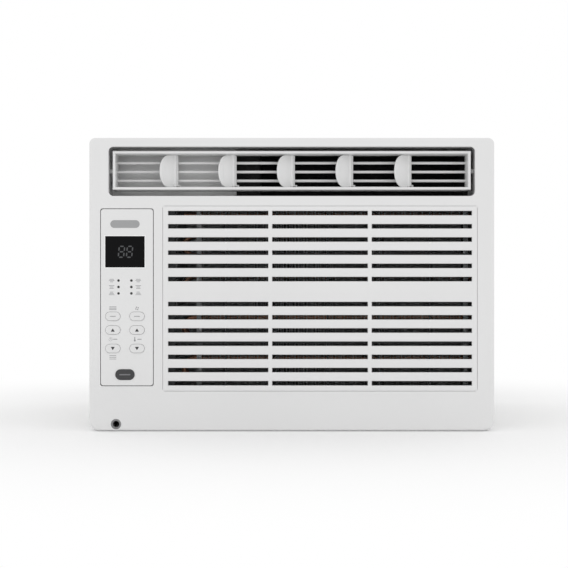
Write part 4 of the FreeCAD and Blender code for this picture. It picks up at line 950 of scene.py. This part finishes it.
@dataclass
class ControlColumn:
    """Display rim and digits, legends beside the lamps and keys, and the marks on the keys."""

    low: Vector
    high: Vector
    window_low: Vector
    window_high: Vector
    print_high: float = 0.06 * MM
    rim_width: float = 1.3 * MM
    rim_proud: float = 0.5 * MM
    rim_sunk: float = 0.3 * MM
    rim_soft: float = 0.25 * MM
    digit_width: float = 6.2 * MM
    digit_height: float = 12.6 * MM
    digit_gap: float = 3.2 * MM
    digit_high: float = 0.05 * MM
    stroke: float = 1.5 * MM
    nick: float = 1.15
    lean: float = 0.10
    lamp_column: float = 7.45 * MM
    lamp_margin: float = 2.1 * MM
    lamp_legend: float = 8.0 * MM
    key_column: float = 14.0 * MM
    arrow_half: float = 2.3 * MM
    arrow_reach: float = 1.9 * MM
    arrow_high: float = 0.2 * MM

    @property
    def centre(self) -> float:
        """Gives the X of the column's middle."""
        return (self.window_low.x + self.window_high.x) / 2

    def bar(self, solid: Solid, x: float, z: float, width: float, height: float, face: float) -> None:
        """Adds one printed bar with round ends.

        Args:
            solid: Where it goes.
            x: Its middle.
            z: Its middle.
            width: Its width.
            height: Its height.
            face: Y of the surface that it is printed on.
        """
        radius = min(width, height) / 2 * 0.98
        outline = rounded(x - width / 2, x + width / 2, z - height / 2, z + height / 2, radius, 3)
        solid.prism(outline, Axis.Y, face - self.print_high, face + self.print_high)

    def rim(self) -> None:
        """Builds the thin rim round the window, painted lighter than the panel plastic as a highlight."""
        low, high, wide = self.window_low, self.window_high, self.rim_width
        us = [low.x - wide, low.x, high.x, high.x + wide]
        vs = [low.z - wide, low.z, high.z, high.z + wide]
        front, back = self.low.y - self.rim_proud, self.low.y + self.rim_sunk
        solid = Solid().grid(us, vs, [(1, 1)], Axis.Y, front, back, self.rim_soft)
        solid.piece("display_rim", Palette.RIM_PAINTED_HIGHLIGHT, "chassis", "panel_plastic")

    def digits(self) -> None:
        """Builds two unlit digits in the window."""
        solid = Solid()
        face = self.window_low.y
        z0 = (self.window_low.z + self.window_high.z) / 2 - self.digit_height / 2
        half = self.stroke / 2
        for start in (-self.digit_width - self.digit_gap / 2, self.digit_gap / 2):
            for segment in Segment:
                ends = []
                for u, v in segment.value:
                    z = v * self.digit_height / 2
                    ends.append(Vector((self.centre + start + u * self.digit_width + self.lean * z, z0 + z)))
                way = (ends[1] - ends[0]).normalized()
                across = Vector((-way.y, way.x))
                near, far = ends[0] + way * half * self.nick, ends[1] - way * half * self.nick
                outline = [near, near + (way + across) * half, far - (way - across) * half, far,
                           far - (way + across) * half, near + (way - across) * half]
                solid.prism([tuple(corner) for corner in outline], Axis.Y, face - self.digit_high,
                            face + self.digit_high)
        solid.piece("display_digits", Palette.SEGMENT, "chassis", "smoked_window")

    def lamp_legends(self, solid: Solid) -> None:
        """Adds a small pictogram of bars beside each lamp.

        Args:
            solid: Where they go.
        """
        low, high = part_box("indicator_lenses")
        for row, z in enumerate(spaced(low.z + self.lamp_margin, high.z - self.lamp_margin, 3)):
            for side in (-1, 1):
                x = self.centre + side * (self.lamp_column + self.lamp_legend)
                for k in range(3):
                    width = (6.5 - 1.3 * ((k + row) % 3)) * MM
                    self.bar(solid, x, z + (k - 1) * 1.5 * MM, width, 0.65 * MM, self.low.y)

    def dots(self, solid: Solid, x: float, z: float, count: int, radius: float, size: float,
             start: float = 0.0) -> None:
        """Adds a ring of dots.

        Args:
            solid: Where they go.
            x: Middle of the ring.
            z: Middle of the ring.
            count: Number of dots.
            radius: Radius of the ring.
            size: Width of a dot.
            start: Turn of the first dot, in radians.
        """
        for k in range(count):
            turn = 2 * math.pi * k / count + start
            across, up = radius * math.cos(turn), radius * math.sin(turn)
            self.bar(solid, x + across, z + up, size, size, self.low.y)

    def fan_mark(self, solid: Solid, x: float, z: float) -> None:
        """Adds a fan pictogram of four petals.

        Args:
            solid: Where it goes.
            x: Its middle.
            z: Its middle.
        """
        self.dots(solid, x, z, 4, 1.5 * MM, 1.5 * MM, 0.5)

    def clock_mark(self, solid: Solid, x: float, z: float) -> None:
        """Adds a clock pictogram: a ring of ticks and two hands.

        Args:
            solid: Where it goes.
            x: Its middle.
            z: Its middle.
        """
        self.dots(solid, x, z, 8, 2.0 * MM, 0.8 * MM)
        self.bar(solid, x, z + 0.5 * MM, 0.5 * MM, 1.6 * MM, self.low.y)
        self.bar(solid, x + 0.5 * MM, z, 1.4 * MM, 0.5 * MM, self.low.y)

    def degree_mark(self, solid: Solid, x: float, z: float) -> None:
        """Adds a thermometer pictogram.

        Args:
            solid: Where it goes.
            x: Its middle.
            z: Its middle.
        """
        self.bar(solid, x, z + 0.8 * MM, 1.0 * MM, 4.0 * MM, self.low.y)
        self.bar(solid, x, z - 1.5 * MM, 2.2 * MM, 2.2 * MM, self.low.y)

    def legends(self) -> None:
        """Builds every printed pictogram of the column."""
        solid = Solid()
        self.lamp_legends(solid)
        mode, up, down = (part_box(f"{name}_button") for name in ("mode", "timer_up", "timer_down"))
        left, right = self.centre - self.key_column, self.centre + self.key_column
        above = mode[1].z + 2.6 * MM
        for rise in (2.4, 0.8, -0.8):
            self.bar(solid, left, above + rise * MM, 8.5 * MM, 0.7 * MM, self.low.y)
        self.fan_mark(solid, middle_of("fan_button").x, above + 0.6 * MM)
        between = (up[0].z + down[1].z) / 2
        for x, mark in ((left, self.clock_mark), (right, self.degree_mark)):
            mark(solid, x - 2.6 * MM, between)
            self.bar(solid, x + 2.8 * MM, between, 5.0 * MM, 0.9 * MM, self.low.y)
        for k in range(3):
            self.bar(solid, left, down[0].z - (2.2 + 2.0 * k) * MM, 8.0 * MM, 0.6 * MM, self.low.y)
        solid.piece("control_legends", Palette.PRINT, "chassis", "panel_plastic")

    def key_marks(self) -> None:
        """Builds the arrow, mode and fan marks on the keys, each riding on its key."""
        for name, way in (("timer_up", 1), ("temp_up", 1), ("timer_down", -1), ("temp_down", -1)):
            middle, face = middle_of(f"{name}_button"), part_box(f"{name}_button")[0].y
            foot, tip = middle.z - way * self.arrow_reach, middle.z + way * self.arrow_reach
            outline = [(middle.x - self.arrow_half, foot), (middle.x + self.arrow_half, foot), (middle.x, tip)]
            solid = Solid().prism(outline, Axis.Y, face - self.digit_high, face + self.arrow_high)
            solid.piece(f"{name}_arrow", Palette.ARROW, f"{name}_button_key", "dark_plastic")
        self.key_bar("mode", "mode_mark", 7.0 * MM, 0.8 * MM, Palette.PRINT, "panel_plastic")
        self.key_bar("fan", "fan_mark", 7.0 * MM, 0.8 * MM, Palette.PRINT, "panel_plastic")
        self.key_bar("power", "power_key_mark", 13.0 * MM, 1.3 * MM, Palette.POWER_MARK, "power_key")

    def key_bar(self, key: str, name: str, width: float, height: float, finish: Finish, slot: str) -> None:
        """Builds the printed bar on one key.

        Args:
            key: Which key.
            name: Name of the piece.
            width: Width of the bar.
            height: Height of the bar.
            finish: Its finish.
            slot: Material slot of the record.
        """
        middle, face = middle_of(f"{key}_button"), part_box(f"{key}_button")[0].y
        solid = Solid()
        self.bar(solid, middle.x, middle.z, width, height, face)
        solid.piece(name, finish, f"{key}_button_key", slot)

    def build(self) -> None:
        """Builds every piece of the column."""
        self.rim()
        self.digits()
        self.legends()
        self.key_marks()


# ---------------------------------------------------------------- inside the unit
@dataclass
class FilterNet:
    """Woven net of the air filter, between the bars of its frame."""

    low: Vector
    high: Vector
    strand: float = 0.28 * MM
    pitch: float = 1.3 * MM

    def build(self) -> bpy.types.Object:
        """Builds the upright and the level strands.

        Returns:
            The net.
        """
        solid = Solid()
        y0, y1 = self.low.y, self.high.y
        middle = (y0 + y1) / 2
        half = min(self.strand / 2, (y1 - y0) / 2)
        for x in spaced(self.low.x + half, self.high.x - half, round((self.high.x - self.low.x) / self.pitch)):
            solid.box((x - half, middle - half, self.low.z), (x + half, middle + half, self.high.z))
        for z in spaced(self.low.z + half, self.high.z - half, round((self.high.z - self.low.z) / self.pitch)):
            solid.box((self.low.x, middle - half, z - half), (self.high.x, middle + half, z + half))
        # The net's near-black finish is painted shade for the dark inside of the intake slots.
        return solid.piece("filter_net", Palette.NET_PAINTED_SHADE, "air_filter", "filter_mesh", ["filter_mesh"])


@dataclass
class FinStack:
    """Thin pressed fins of one coil, each with a corrugated face."""

    node: str
    pitch: float = 1.8 * MM
    thick: float = 0.24 * MM
    wave: float = 0.35 * MM
    folds: int = 6

    def build(self) -> bpy.types.Object:
        """Builds the stack in the space of the CAD fins.

        Returns:
            The fins.
        """
        low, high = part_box(self.node)
        solid = Solid()
        ys = spaced(low.y, high.y, self.folds * 2 + 1)
        inset = self.wave + self.thick
        for x in spaced(low.x + inset, high.x - inset, round((high.x - low.x) / self.pitch)):
            front = [(x + self.wave * (k % 2) + self.thick / 2, y) for k, y in enumerate(ys)]
            back = [(u - self.thick, y) for u, y in reversed(front)]
            solid.prism(front + back, Axis.Z, low.z, high.z)
        return solid.piece(f"{self.node}_stack", Palette.FIN, "chassis", "aluminium_fin", [self.node], 20.0)


@dataclass
class BlowerWheel:
    """Squirrel-cage wheel of forward-curved blades."""

    low: Vector
    high: Vector
    blades: int = 30
    depth: float = 13.6 * MM
    thick: float = 1.2 * MM
    hub: float = 12.0 * MM
    disc: float = 2.0 * MM
    bore: float = 4.05 * MM
    end_ring: float = 3.0 * MM
    flare: float = 3.0 * MM
    hub_reach: float = 18.0 * MM
    scoop: float = 4.6 * MM
    lean: float = 1.8 * MM

    def blade(self, radius: float) -> List[Tuple[float, float]]:
        """Gives the curved section of one blade in X and Z, about the wheel's axis.

        Args:
            radius: Outer radius of the wheel.

        Returns:
            Outline points.
        """
        outer, inner = radius - 0.7 * MM, radius - self.depth
        line = []
        for k in range(7):
            share = k / 6
            line.append((inner + (outer - inner) * share, self.scoop * share ** 2 - self.lean * share))
        back = [(x, z + self.thick) for x, z in reversed(line)]
        return line + back

    def build(self) -> bpy.types.Object:
        """Builds the blades, the end ring, the disc and the hub.

        Returns:
            The wheel.
        """
        centre = (self.low + self.high) / 2
        radius = (self.high.x - self.low.x) / 2
        y0, y1 = self.low.y, self.high.y
        solid = Solid().prism(self.blade(radius), Axis.Y, y0 + MM, y1 - self.disc / 2)
        solid.repeat(self.blades, Axis.Y).shift(centre.x, 0, centre.z)
        inner, ring_end = radius - self.depth, y0 + self.end_ring
        solid.lathe([(inner, y0), (radius - 0.4 * MM, y0), (radius, y0 + 0.4 * MM), (radius, ring_end),
                     (inner, ring_end)], centre, Axis.Y, 96)
        face = y1 - self.disc
        foot = face - self.hub_reach
        solid.lathe([(self.bore, y1), (radius - 0.5 * MM, y1), (radius, y1 - 0.5 * MM), (radius, face),
                     (self.hub + self.flare, face), (self.hub, face - self.flare), (self.hub - MM, foot),
                     (self.bore, foot)], centre, Axis.Y, 96)
        return solid.piece("blower_cage", Palette.DARK, "fan_rotor", "dark_plastic", ["blower_wheel"])


@dataclass
class CondenserFan:
    """Axial fan of twisted blades inside a water slinger ring."""

    low: Vector
    high: Vector
    blades: int = 5
    hub: float = 20.0 * MM
    hub_setback: float = 3.0 * MM
    ring: float = 2.0 * MM
    ring_half: float = 4.0 * MM
    thick: float = 1.8 * MM
    bore: float = 4.05 * MM
    stations: int = 12
    root_pitch: float = 44.0
    untwist: float = 20.0
    root_chord: float = 34.0 * MM
    widening: float = 40.0 * MM
    camber: float = 0.07
    sweep: float = 0.25
    depth_half: float = 13.5 * MM

    def section(self, radius: float, outer: float) -> List[Tuple[float, float]]:
        """Gives the section of a blade across its radius, as turn and depth pairs.

        Args:
            radius: Distance from the axis.
            outer: Radius of the blade's tip.

        Returns:
            Points of turn in radians and distance along the axis.
        """
        share = (radius - self.hub) / (outer - self.hub)
        pitch = math.radians(self.root_pitch - self.untwist * share)
        chord = self.root_chord + self.widening * share
        line = []
        for place in spaced(-1.0, 1.0, 9):
            camber = self.camber * chord * (1 - place ** 2)
            half = self.thick / 2 * (1 - 0.7 * abs(place) ** 3)
            line.append((place * chord / 2, camber, half))
        faces = []
        for sign, order in ((1, line), (-1, list(reversed(line)))):
            for along, camber, half in order:
                lift = camber + sign * half
                across = along * math.cos(pitch) - lift * math.sin(pitch)
                deep = along * math.sin(pitch) + lift * math.cos(pitch)
                faces.append((across / radius + self.sweep * share, deep))
        return faces

    def blade(self, solid: Solid, outer: float, middle: float) -> None:
        """Adds one blade about the axis.

        Args:
            solid: Where it goes.
            outer: Radius of its tip.
            middle: Place of its middle along the axis.
        """
        rings = []
        for radius in spaced(self.hub - 1.5 * MM, outer, self.stations):
            ring = []
            for turn, deep in self.section(radius, outer):
                y = middle + max(-self.depth_half, min(self.depth_half, deep))
                ring.append(solid.mesh.verts.new((radius * math.cos(turn), y, radius * math.sin(turn))))
            rings.append(ring)
        made = [solid.mesh.faces.new(rings[0]), solid.mesh.faces.new(rings[-1])]
        for first, second in zip(rings, rings[1:]):
            for k in range(len(first)):
                after = (k + 1) % len(first)
                made.append(solid.mesh.faces.new((first[k], first[after], second[after], second[k])))
        bmesh.ops.recalc_face_normals(solid.mesh, faces=made)

    def build(self) -> bpy.types.Object:
        """Builds the blades, hub and slinger ring.

        Returns:
            The fan.
        """
        centre = (self.low + self.high) / 2
        outer = (self.high.x - self.low.x) / 2
        solid = Solid()
        self.blade(solid, outer - self.ring * 0.6, centre.y)
        solid.repeat(self.blades, Axis.Y).shift(centre.x, 0, centre.z)
        inner = outer - self.ring
        near, far = centre.y - self.ring_half, centre.y + self.ring_half
        solid.lathe([(inner, near), (outer, near), (outer, far), (inner, far)], centre, Axis.Y, 120)
        front, back = self.low.y + self.hub_setback, self.high.y
        solid.lathe([(self.bore, front), (self.hub - 2 * MM, front), (self.hub, front + 2 * MM),
                     (self.hub, back - 3 * MM), (self.hub - 3 * MM, back), (self.bore, back)], centre, Axis.Y, 64)
        return solid.piece("condenser_fan_blades", Palette.DARK, "fan_rotor", "dark_plastic", ["condenser_fan"])


@dataclass
class DuctCheek:
    """Foam cheek that narrows the duct between the outlet liner and the blower's volute, dressed near-black as
    painted shade.
    """

    left: float = -66.8 * MM
    right: float = -38.0 * MM
    thick: float = 2.5 * MM
    gap: float = 0.4 * MM
    margin: float = 1.0 * MM
    soft: float = 0.5 * MM

    def build(self) -> bpy.types.Object:
        """Builds the cheek behind the outlet liner.

        Returns:
            The cheek.
        """
        low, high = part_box("outlet_liner")
        front = high.y + self.gap
        solid = Solid().box((self.left, front, low.z + self.margin),
                            (self.right, front + self.thick, high.z - self.margin), self.soft)
        return solid.piece("duct_cheek", Palette.FOAM_PAINTED_SHADE, "chassis", "duct_foam")


@dataclass
class LouvreHoods:
    """Pressed hoods over the ventilation slots of the cabinet."""

    low: Vector
    high: Vector
    bulkhead: float
    condenser: float
    count: int = 12
    pitch: float = 9.0 * MM
    length: float = 70.0 * MM
    gap: float = 24.0 * MM
    proud: float = 2.6 * MM
    cap: float = 1.2 * MM

    def hood(self, y: float, lift: int) -> List[Tuple[float, float]]:
        """Gives the section of a hood, as height over the sheet and place across the depth.

        Args:
            y: Middle of its slot.
            lift: 1 or -1, the side that the sheet faces.

        Returns:
            Outline points.
        """
        rise = self.proud * lift
        return [(-0.3 * MM * lift, y + 4.2 * MM), (rise * 0.55, y + 2.2 * MM), (rise, y - 0.6 * MM),
                (rise, y - 1.6 * MM), (rise - 0.6 * MM * lift, y - 1.6 * MM), (rise * 0.4, y + 0.9 * MM),
                (-0.3 * MM * lift, y + 2.4 * MM)]

    def end(self, y: float, lift: int) -> List[Tuple[float, float]]:
        """Gives the closed section at each end of a hood.

        Args:
            y: Middle of its slot.
            lift: 1 or -1, the side that the sheet faces.

        Returns:
            Outline points.
        """
        return self.hood(y, lift)[:4] + [(-0.3 * MM * lift, y - 1.6 * MM)]

    def press(self, solid: Solid, y: float, lift: int, face: float, axis: Axis, middle: float,
              half: float) -> None:
        """Adds one hood with its closed ends.

        Args:
            solid: Where it goes.
            y: Middle of its slot.
            lift: 1 or -1, the side that the sheet faces.
            face: Place of the sheet.
            axis: Direction of the slot.
            middle: Middle of the slot along it.
            half: Half the length of the slot.
        """
        hood = [(face + u, v) for u, v in self.hood(y, lift)]
        end = [(face + u, v) for u, v in self.end(y, lift)]
        if axis is Axis.X:
            hood, end = [(v, u) for u, v in hood], [(v, u) for u, v in end]
        low, high = middle - half - self.cap, middle + half + self.cap
        solid.prism(hood, axis, low + self.cap / 2, high - self.cap / 2)
        solid.prism(end, axis, low, low + self.cap)
        solid.prism(end, axis, high - self.cap, high)

    def build(self) -> bpy.types.Object:
        """Builds the hoods of both sides and the top.

        Returns:
            The hoods.
        """
        solid = Solid()
        middle = (self.bulkhead + self.condenser) / 2
        for k in range(self.count):
            y = middle + (k - (self.count - 1) / 2) * self.pitch
            for lift, face in ((-1, self.low.x), (1, self.high.x)):
                for bank in (-1, 1):
                    z = self.high.z / 2 + bank * (self.length + self.gap) / 2
                    self.press(solid, y, lift, face, Axis.Z, z, self.length / 2)
            for x in (self.low.x / 2, self.high.x / 2):
                self.press(solid, y, 1, self.high.z, Axis.X, x, self.length)
        return solid.piece("cabinet_louvres", Palette.CABINET, "chassis", "cabinet_paint")


class Dresser:
    """Gives the carried-over CAD nodes their finishes."""

    FINISHES: Dict[str, Finish] = {
        "panel_plastic": Palette.PANEL, "badge_plastic": Palette.BADGE, "smoked_window": Palette.WINDOW,
        "dark_plastic": Palette.DARK, "lens_plastic": Palette.LENS, "power_key": Palette.POWER,
        "key_plastic": Palette.KEY, "circuit_board": Palette.BOARD, "galvanised": Palette.ZINC,
        "aluminium_can": Palette.CAN, "grey_rubber": Palette.GREY_RUBBER, "filter_plastic": Palette.FILTER,
        "filter_mesh": Palette.NET_PAINTED_SHADE, "duct_foam": Palette.FOAM_PAINTED_SHADE, "motor_black": Palette.BLACK_PAINT,
        "steel": Palette.STEEL, "black_rubber": Palette.RUBBER, "copper": Palette.COPPER,
        "cabinet_paint": Palette.CABINET, "guard_paint": Palette.GUARD, "aluminium_fin": Palette.FIN,
    }

    def dress(self, nodes: Nodes, subparts: Sequence[Dict[str, str]]) -> None:
        """Gives every CAD node the finish of its slot.

        Args:
            nodes: CAD objects by name.
            subparts: The record's node and slot names.
        """
        for part in subparts:
            made = nodes[part["node"]]
            made.data.materials.clear()
            made.data.materials.append(self.FINISHES[part["material_slot"]].make())
            LOG.info("node %s in %s", made.name, part["material_slot"])


# ---------------------------------------------------------------- studio
@dataclass
class Studio:
    """Pale sweep, soft lamps, white surroundings and the camera."""

    eye: Point = (-0.009, -1.753, 0.1704)
    lens: float = 85.0
    sensor: float = 36.0
    sky: float = 1.0
    floor_tone: float = 0.92
    floor_half: float = 6.0
    floor_drop: float = 0.4 * MM
    fade_start: float = 0.30
    fade_end: float = 0.85
    key_power: float = 1.5
    aim: Point = (0.0, 0.0, 0.17)

    def paper(self) -> bpy.types.Material:
        """Makes the floor's finish, which fades to plain white away from the unit.

        Returns:
            The material.
        """
        material = bpy.data.materials.new("sweep")
        material.use_nodes = True
        tree = material.node_tree
        tree.nodes.clear()
        out = tree.nodes.new("ShaderNodeOutputMaterial")
        mix = tree.nodes.new("ShaderNodeMixShader")
        glow = tree.nodes.new("ShaderNodeEmission")
        glow.inputs["Color"].default_value = (1, 1, 1, 1)
        glow.inputs["Strength"].default_value = self.sky
        paint = tree.nodes.new("ShaderNodeBsdfDiffuse")
        paint.inputs["Color"].default_value = (self.floor_tone, self.floor_tone, self.floor_tone, 1)
        where = tree.nodes.new("ShaderNodeTexCoord")
        distance = tree.nodes.new("ShaderNodeVectorMath")
        distance.operation = "LENGTH"
        ramp = tree.nodes.new("ShaderNodeMapRange")
        ramp.interpolation_type = "SMOOTHSTEP"
        ramp.inputs["From Min"].default_value = self.fade_start
        ramp.inputs["From Max"].default_value = self.fade_end
        tree.links.new(where.outputs["Object"], distance.inputs[0])
        tree.links.new(distance.outputs["Value"], ramp.inputs["Value"])
        tree.links.new(ramp.outputs["Result"], mix.inputs["Fac"])
        tree.links.new(paint.outputs["BSDF"], mix.inputs[1])
        tree.links.new(glow.outputs["Emission"], mix.inputs[2])
        tree.links.new(mix.outputs["Shader"], out.inputs["Surface"])
        return material

    def sweep(self) -> None:
        """Lays the floor."""
        data = bpy.data.meshes.new("floor")
        half = self.floor_half
        data.from_pydata([(-half, -half, 0), (half, -half, 0), (half, half, 0), (-half, half, 0)], [],
                         [(0, 1, 2, 3)])
        data.materials.append(self.paper())
        floor = bpy.data.objects.new("floor", data)
        floor.location.z = -self.floor_drop
        bpy.context.scene.collection.objects.link(floor)

    def surroundings(self) -> None:
        """Lights the unit evenly from all round."""
        world = bpy.data.worlds.new("studio")
        world.use_nodes = True
        node = next(n for n in world.node_tree.nodes if n.type == "BACKGROUND")
        node.inputs["Color"].default_value = (1, 1, 1, 1)
        node.inputs["Strength"].default_value = self.sky
        bpy.context.scene.world = world

    def lamp(self, name: str, place: Point, size: float, power: float) -> None:
        """Adds a soft square lamp that faces the unit.

        Args:
            name: Name of the lamp.
            place: Where it is.
            size: Length of its side.
            power: Watts.
        """
        data = bpy.data.lights.new(name, "AREA")
        data.size = size
        data.energy = power
        lamp = bpy.data.objects.new(name, data)
        lamp.location = place
        lamp.rotation_euler = (Vector(self.aim) - Vector(place)).to_track_quat("-Z", "Y").to_euler()
        bpy.context.scene.collection.objects.link(lamp)

    def camera(self) -> None:
        """Adds the camera, level and square to the front."""
        data = bpy.data.cameras.new("camera")
        data.lens = self.lens
        data.sensor_width = self.sensor
        data.clip_end = 50.0
        made = bpy.data.objects.new("camera", data)
        made.location = self.eye
        made.rotation_euler = (math.pi / 2, 0, 0)
        bpy.context.scene.collection.objects.link(made)
        bpy.context.scene.camera = made

    def build(self) -> None:
        """Sets up the whole studio."""
        self.sweep()
        self.surroundings()
        self.lamp("key", (-0.9, -1.6, 1.5), 1.2, self.key_power)
        self.lamp("fill", (1.4, -0.6, 0.9), 1.0, self.key_power * 0.4)
        self.camera()
        bpy.context.scene.view_settings.view_transform = "Standard"


def vane_pivot(number: int) -> Vector:
    """Finds the upright axis of a vane from its joint.

    Args:
        number: Number of the vane.

    Returns:
        A point on the axis.
    """
    joint = next(j for j in frame["joints"] if j["name"] == f"vane_{number}_turn")
    return Vector(joint["pos_m"])


def build_front(nodes: Nodes) -> None:
    """Builds the sub-assemblies on the room side.

    Args:
        nodes: CAD objects by name.
    """
    IntakeGrille(*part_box("intake_grille")).build()
    Deflector(*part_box("deflector_frame")).build()
    vanes = sum(1 for name in nodes if name.startswith("vane_") and name[5:].isdigit())
    for number in range(1, vanes + 1):
        TurningVane(number, vane_pivot(number), *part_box(f"vane_{number}")).build()
    ControlColumn(*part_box("control_fascia"), *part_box("display_window")).build()
    FilterNet(*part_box("filter_mesh")).build()


def build_inside() -> None:
    """Builds the coils, the two fans and the duct's cheek."""
    DuctCheek().build()
    FinStack("evaporator_fins").build()
    FinStack("condenser_fins").build()
    BlowerWheel(*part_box("blower_wheel")).build()
    CondenserFan(*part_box("condenser_fan")).build()


def main() -> None:
    """Builds and dresses everything in order."""
    logging.basicConfig(level=logging.INFO, format="%(message)s")
    nodes = frame["nodes"]
    Dresser().dress(nodes, frame["record"]["subparts"])
    build_front(nodes)
    build_inside()
    bulkhead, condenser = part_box("bulkhead"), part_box("condenser_fins")
    LouvreHoods(*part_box("cabinet"), bulkhead[0].y, condenser[0].y).build()
    Studio().build()


if __name__ == "__main__":
    main()
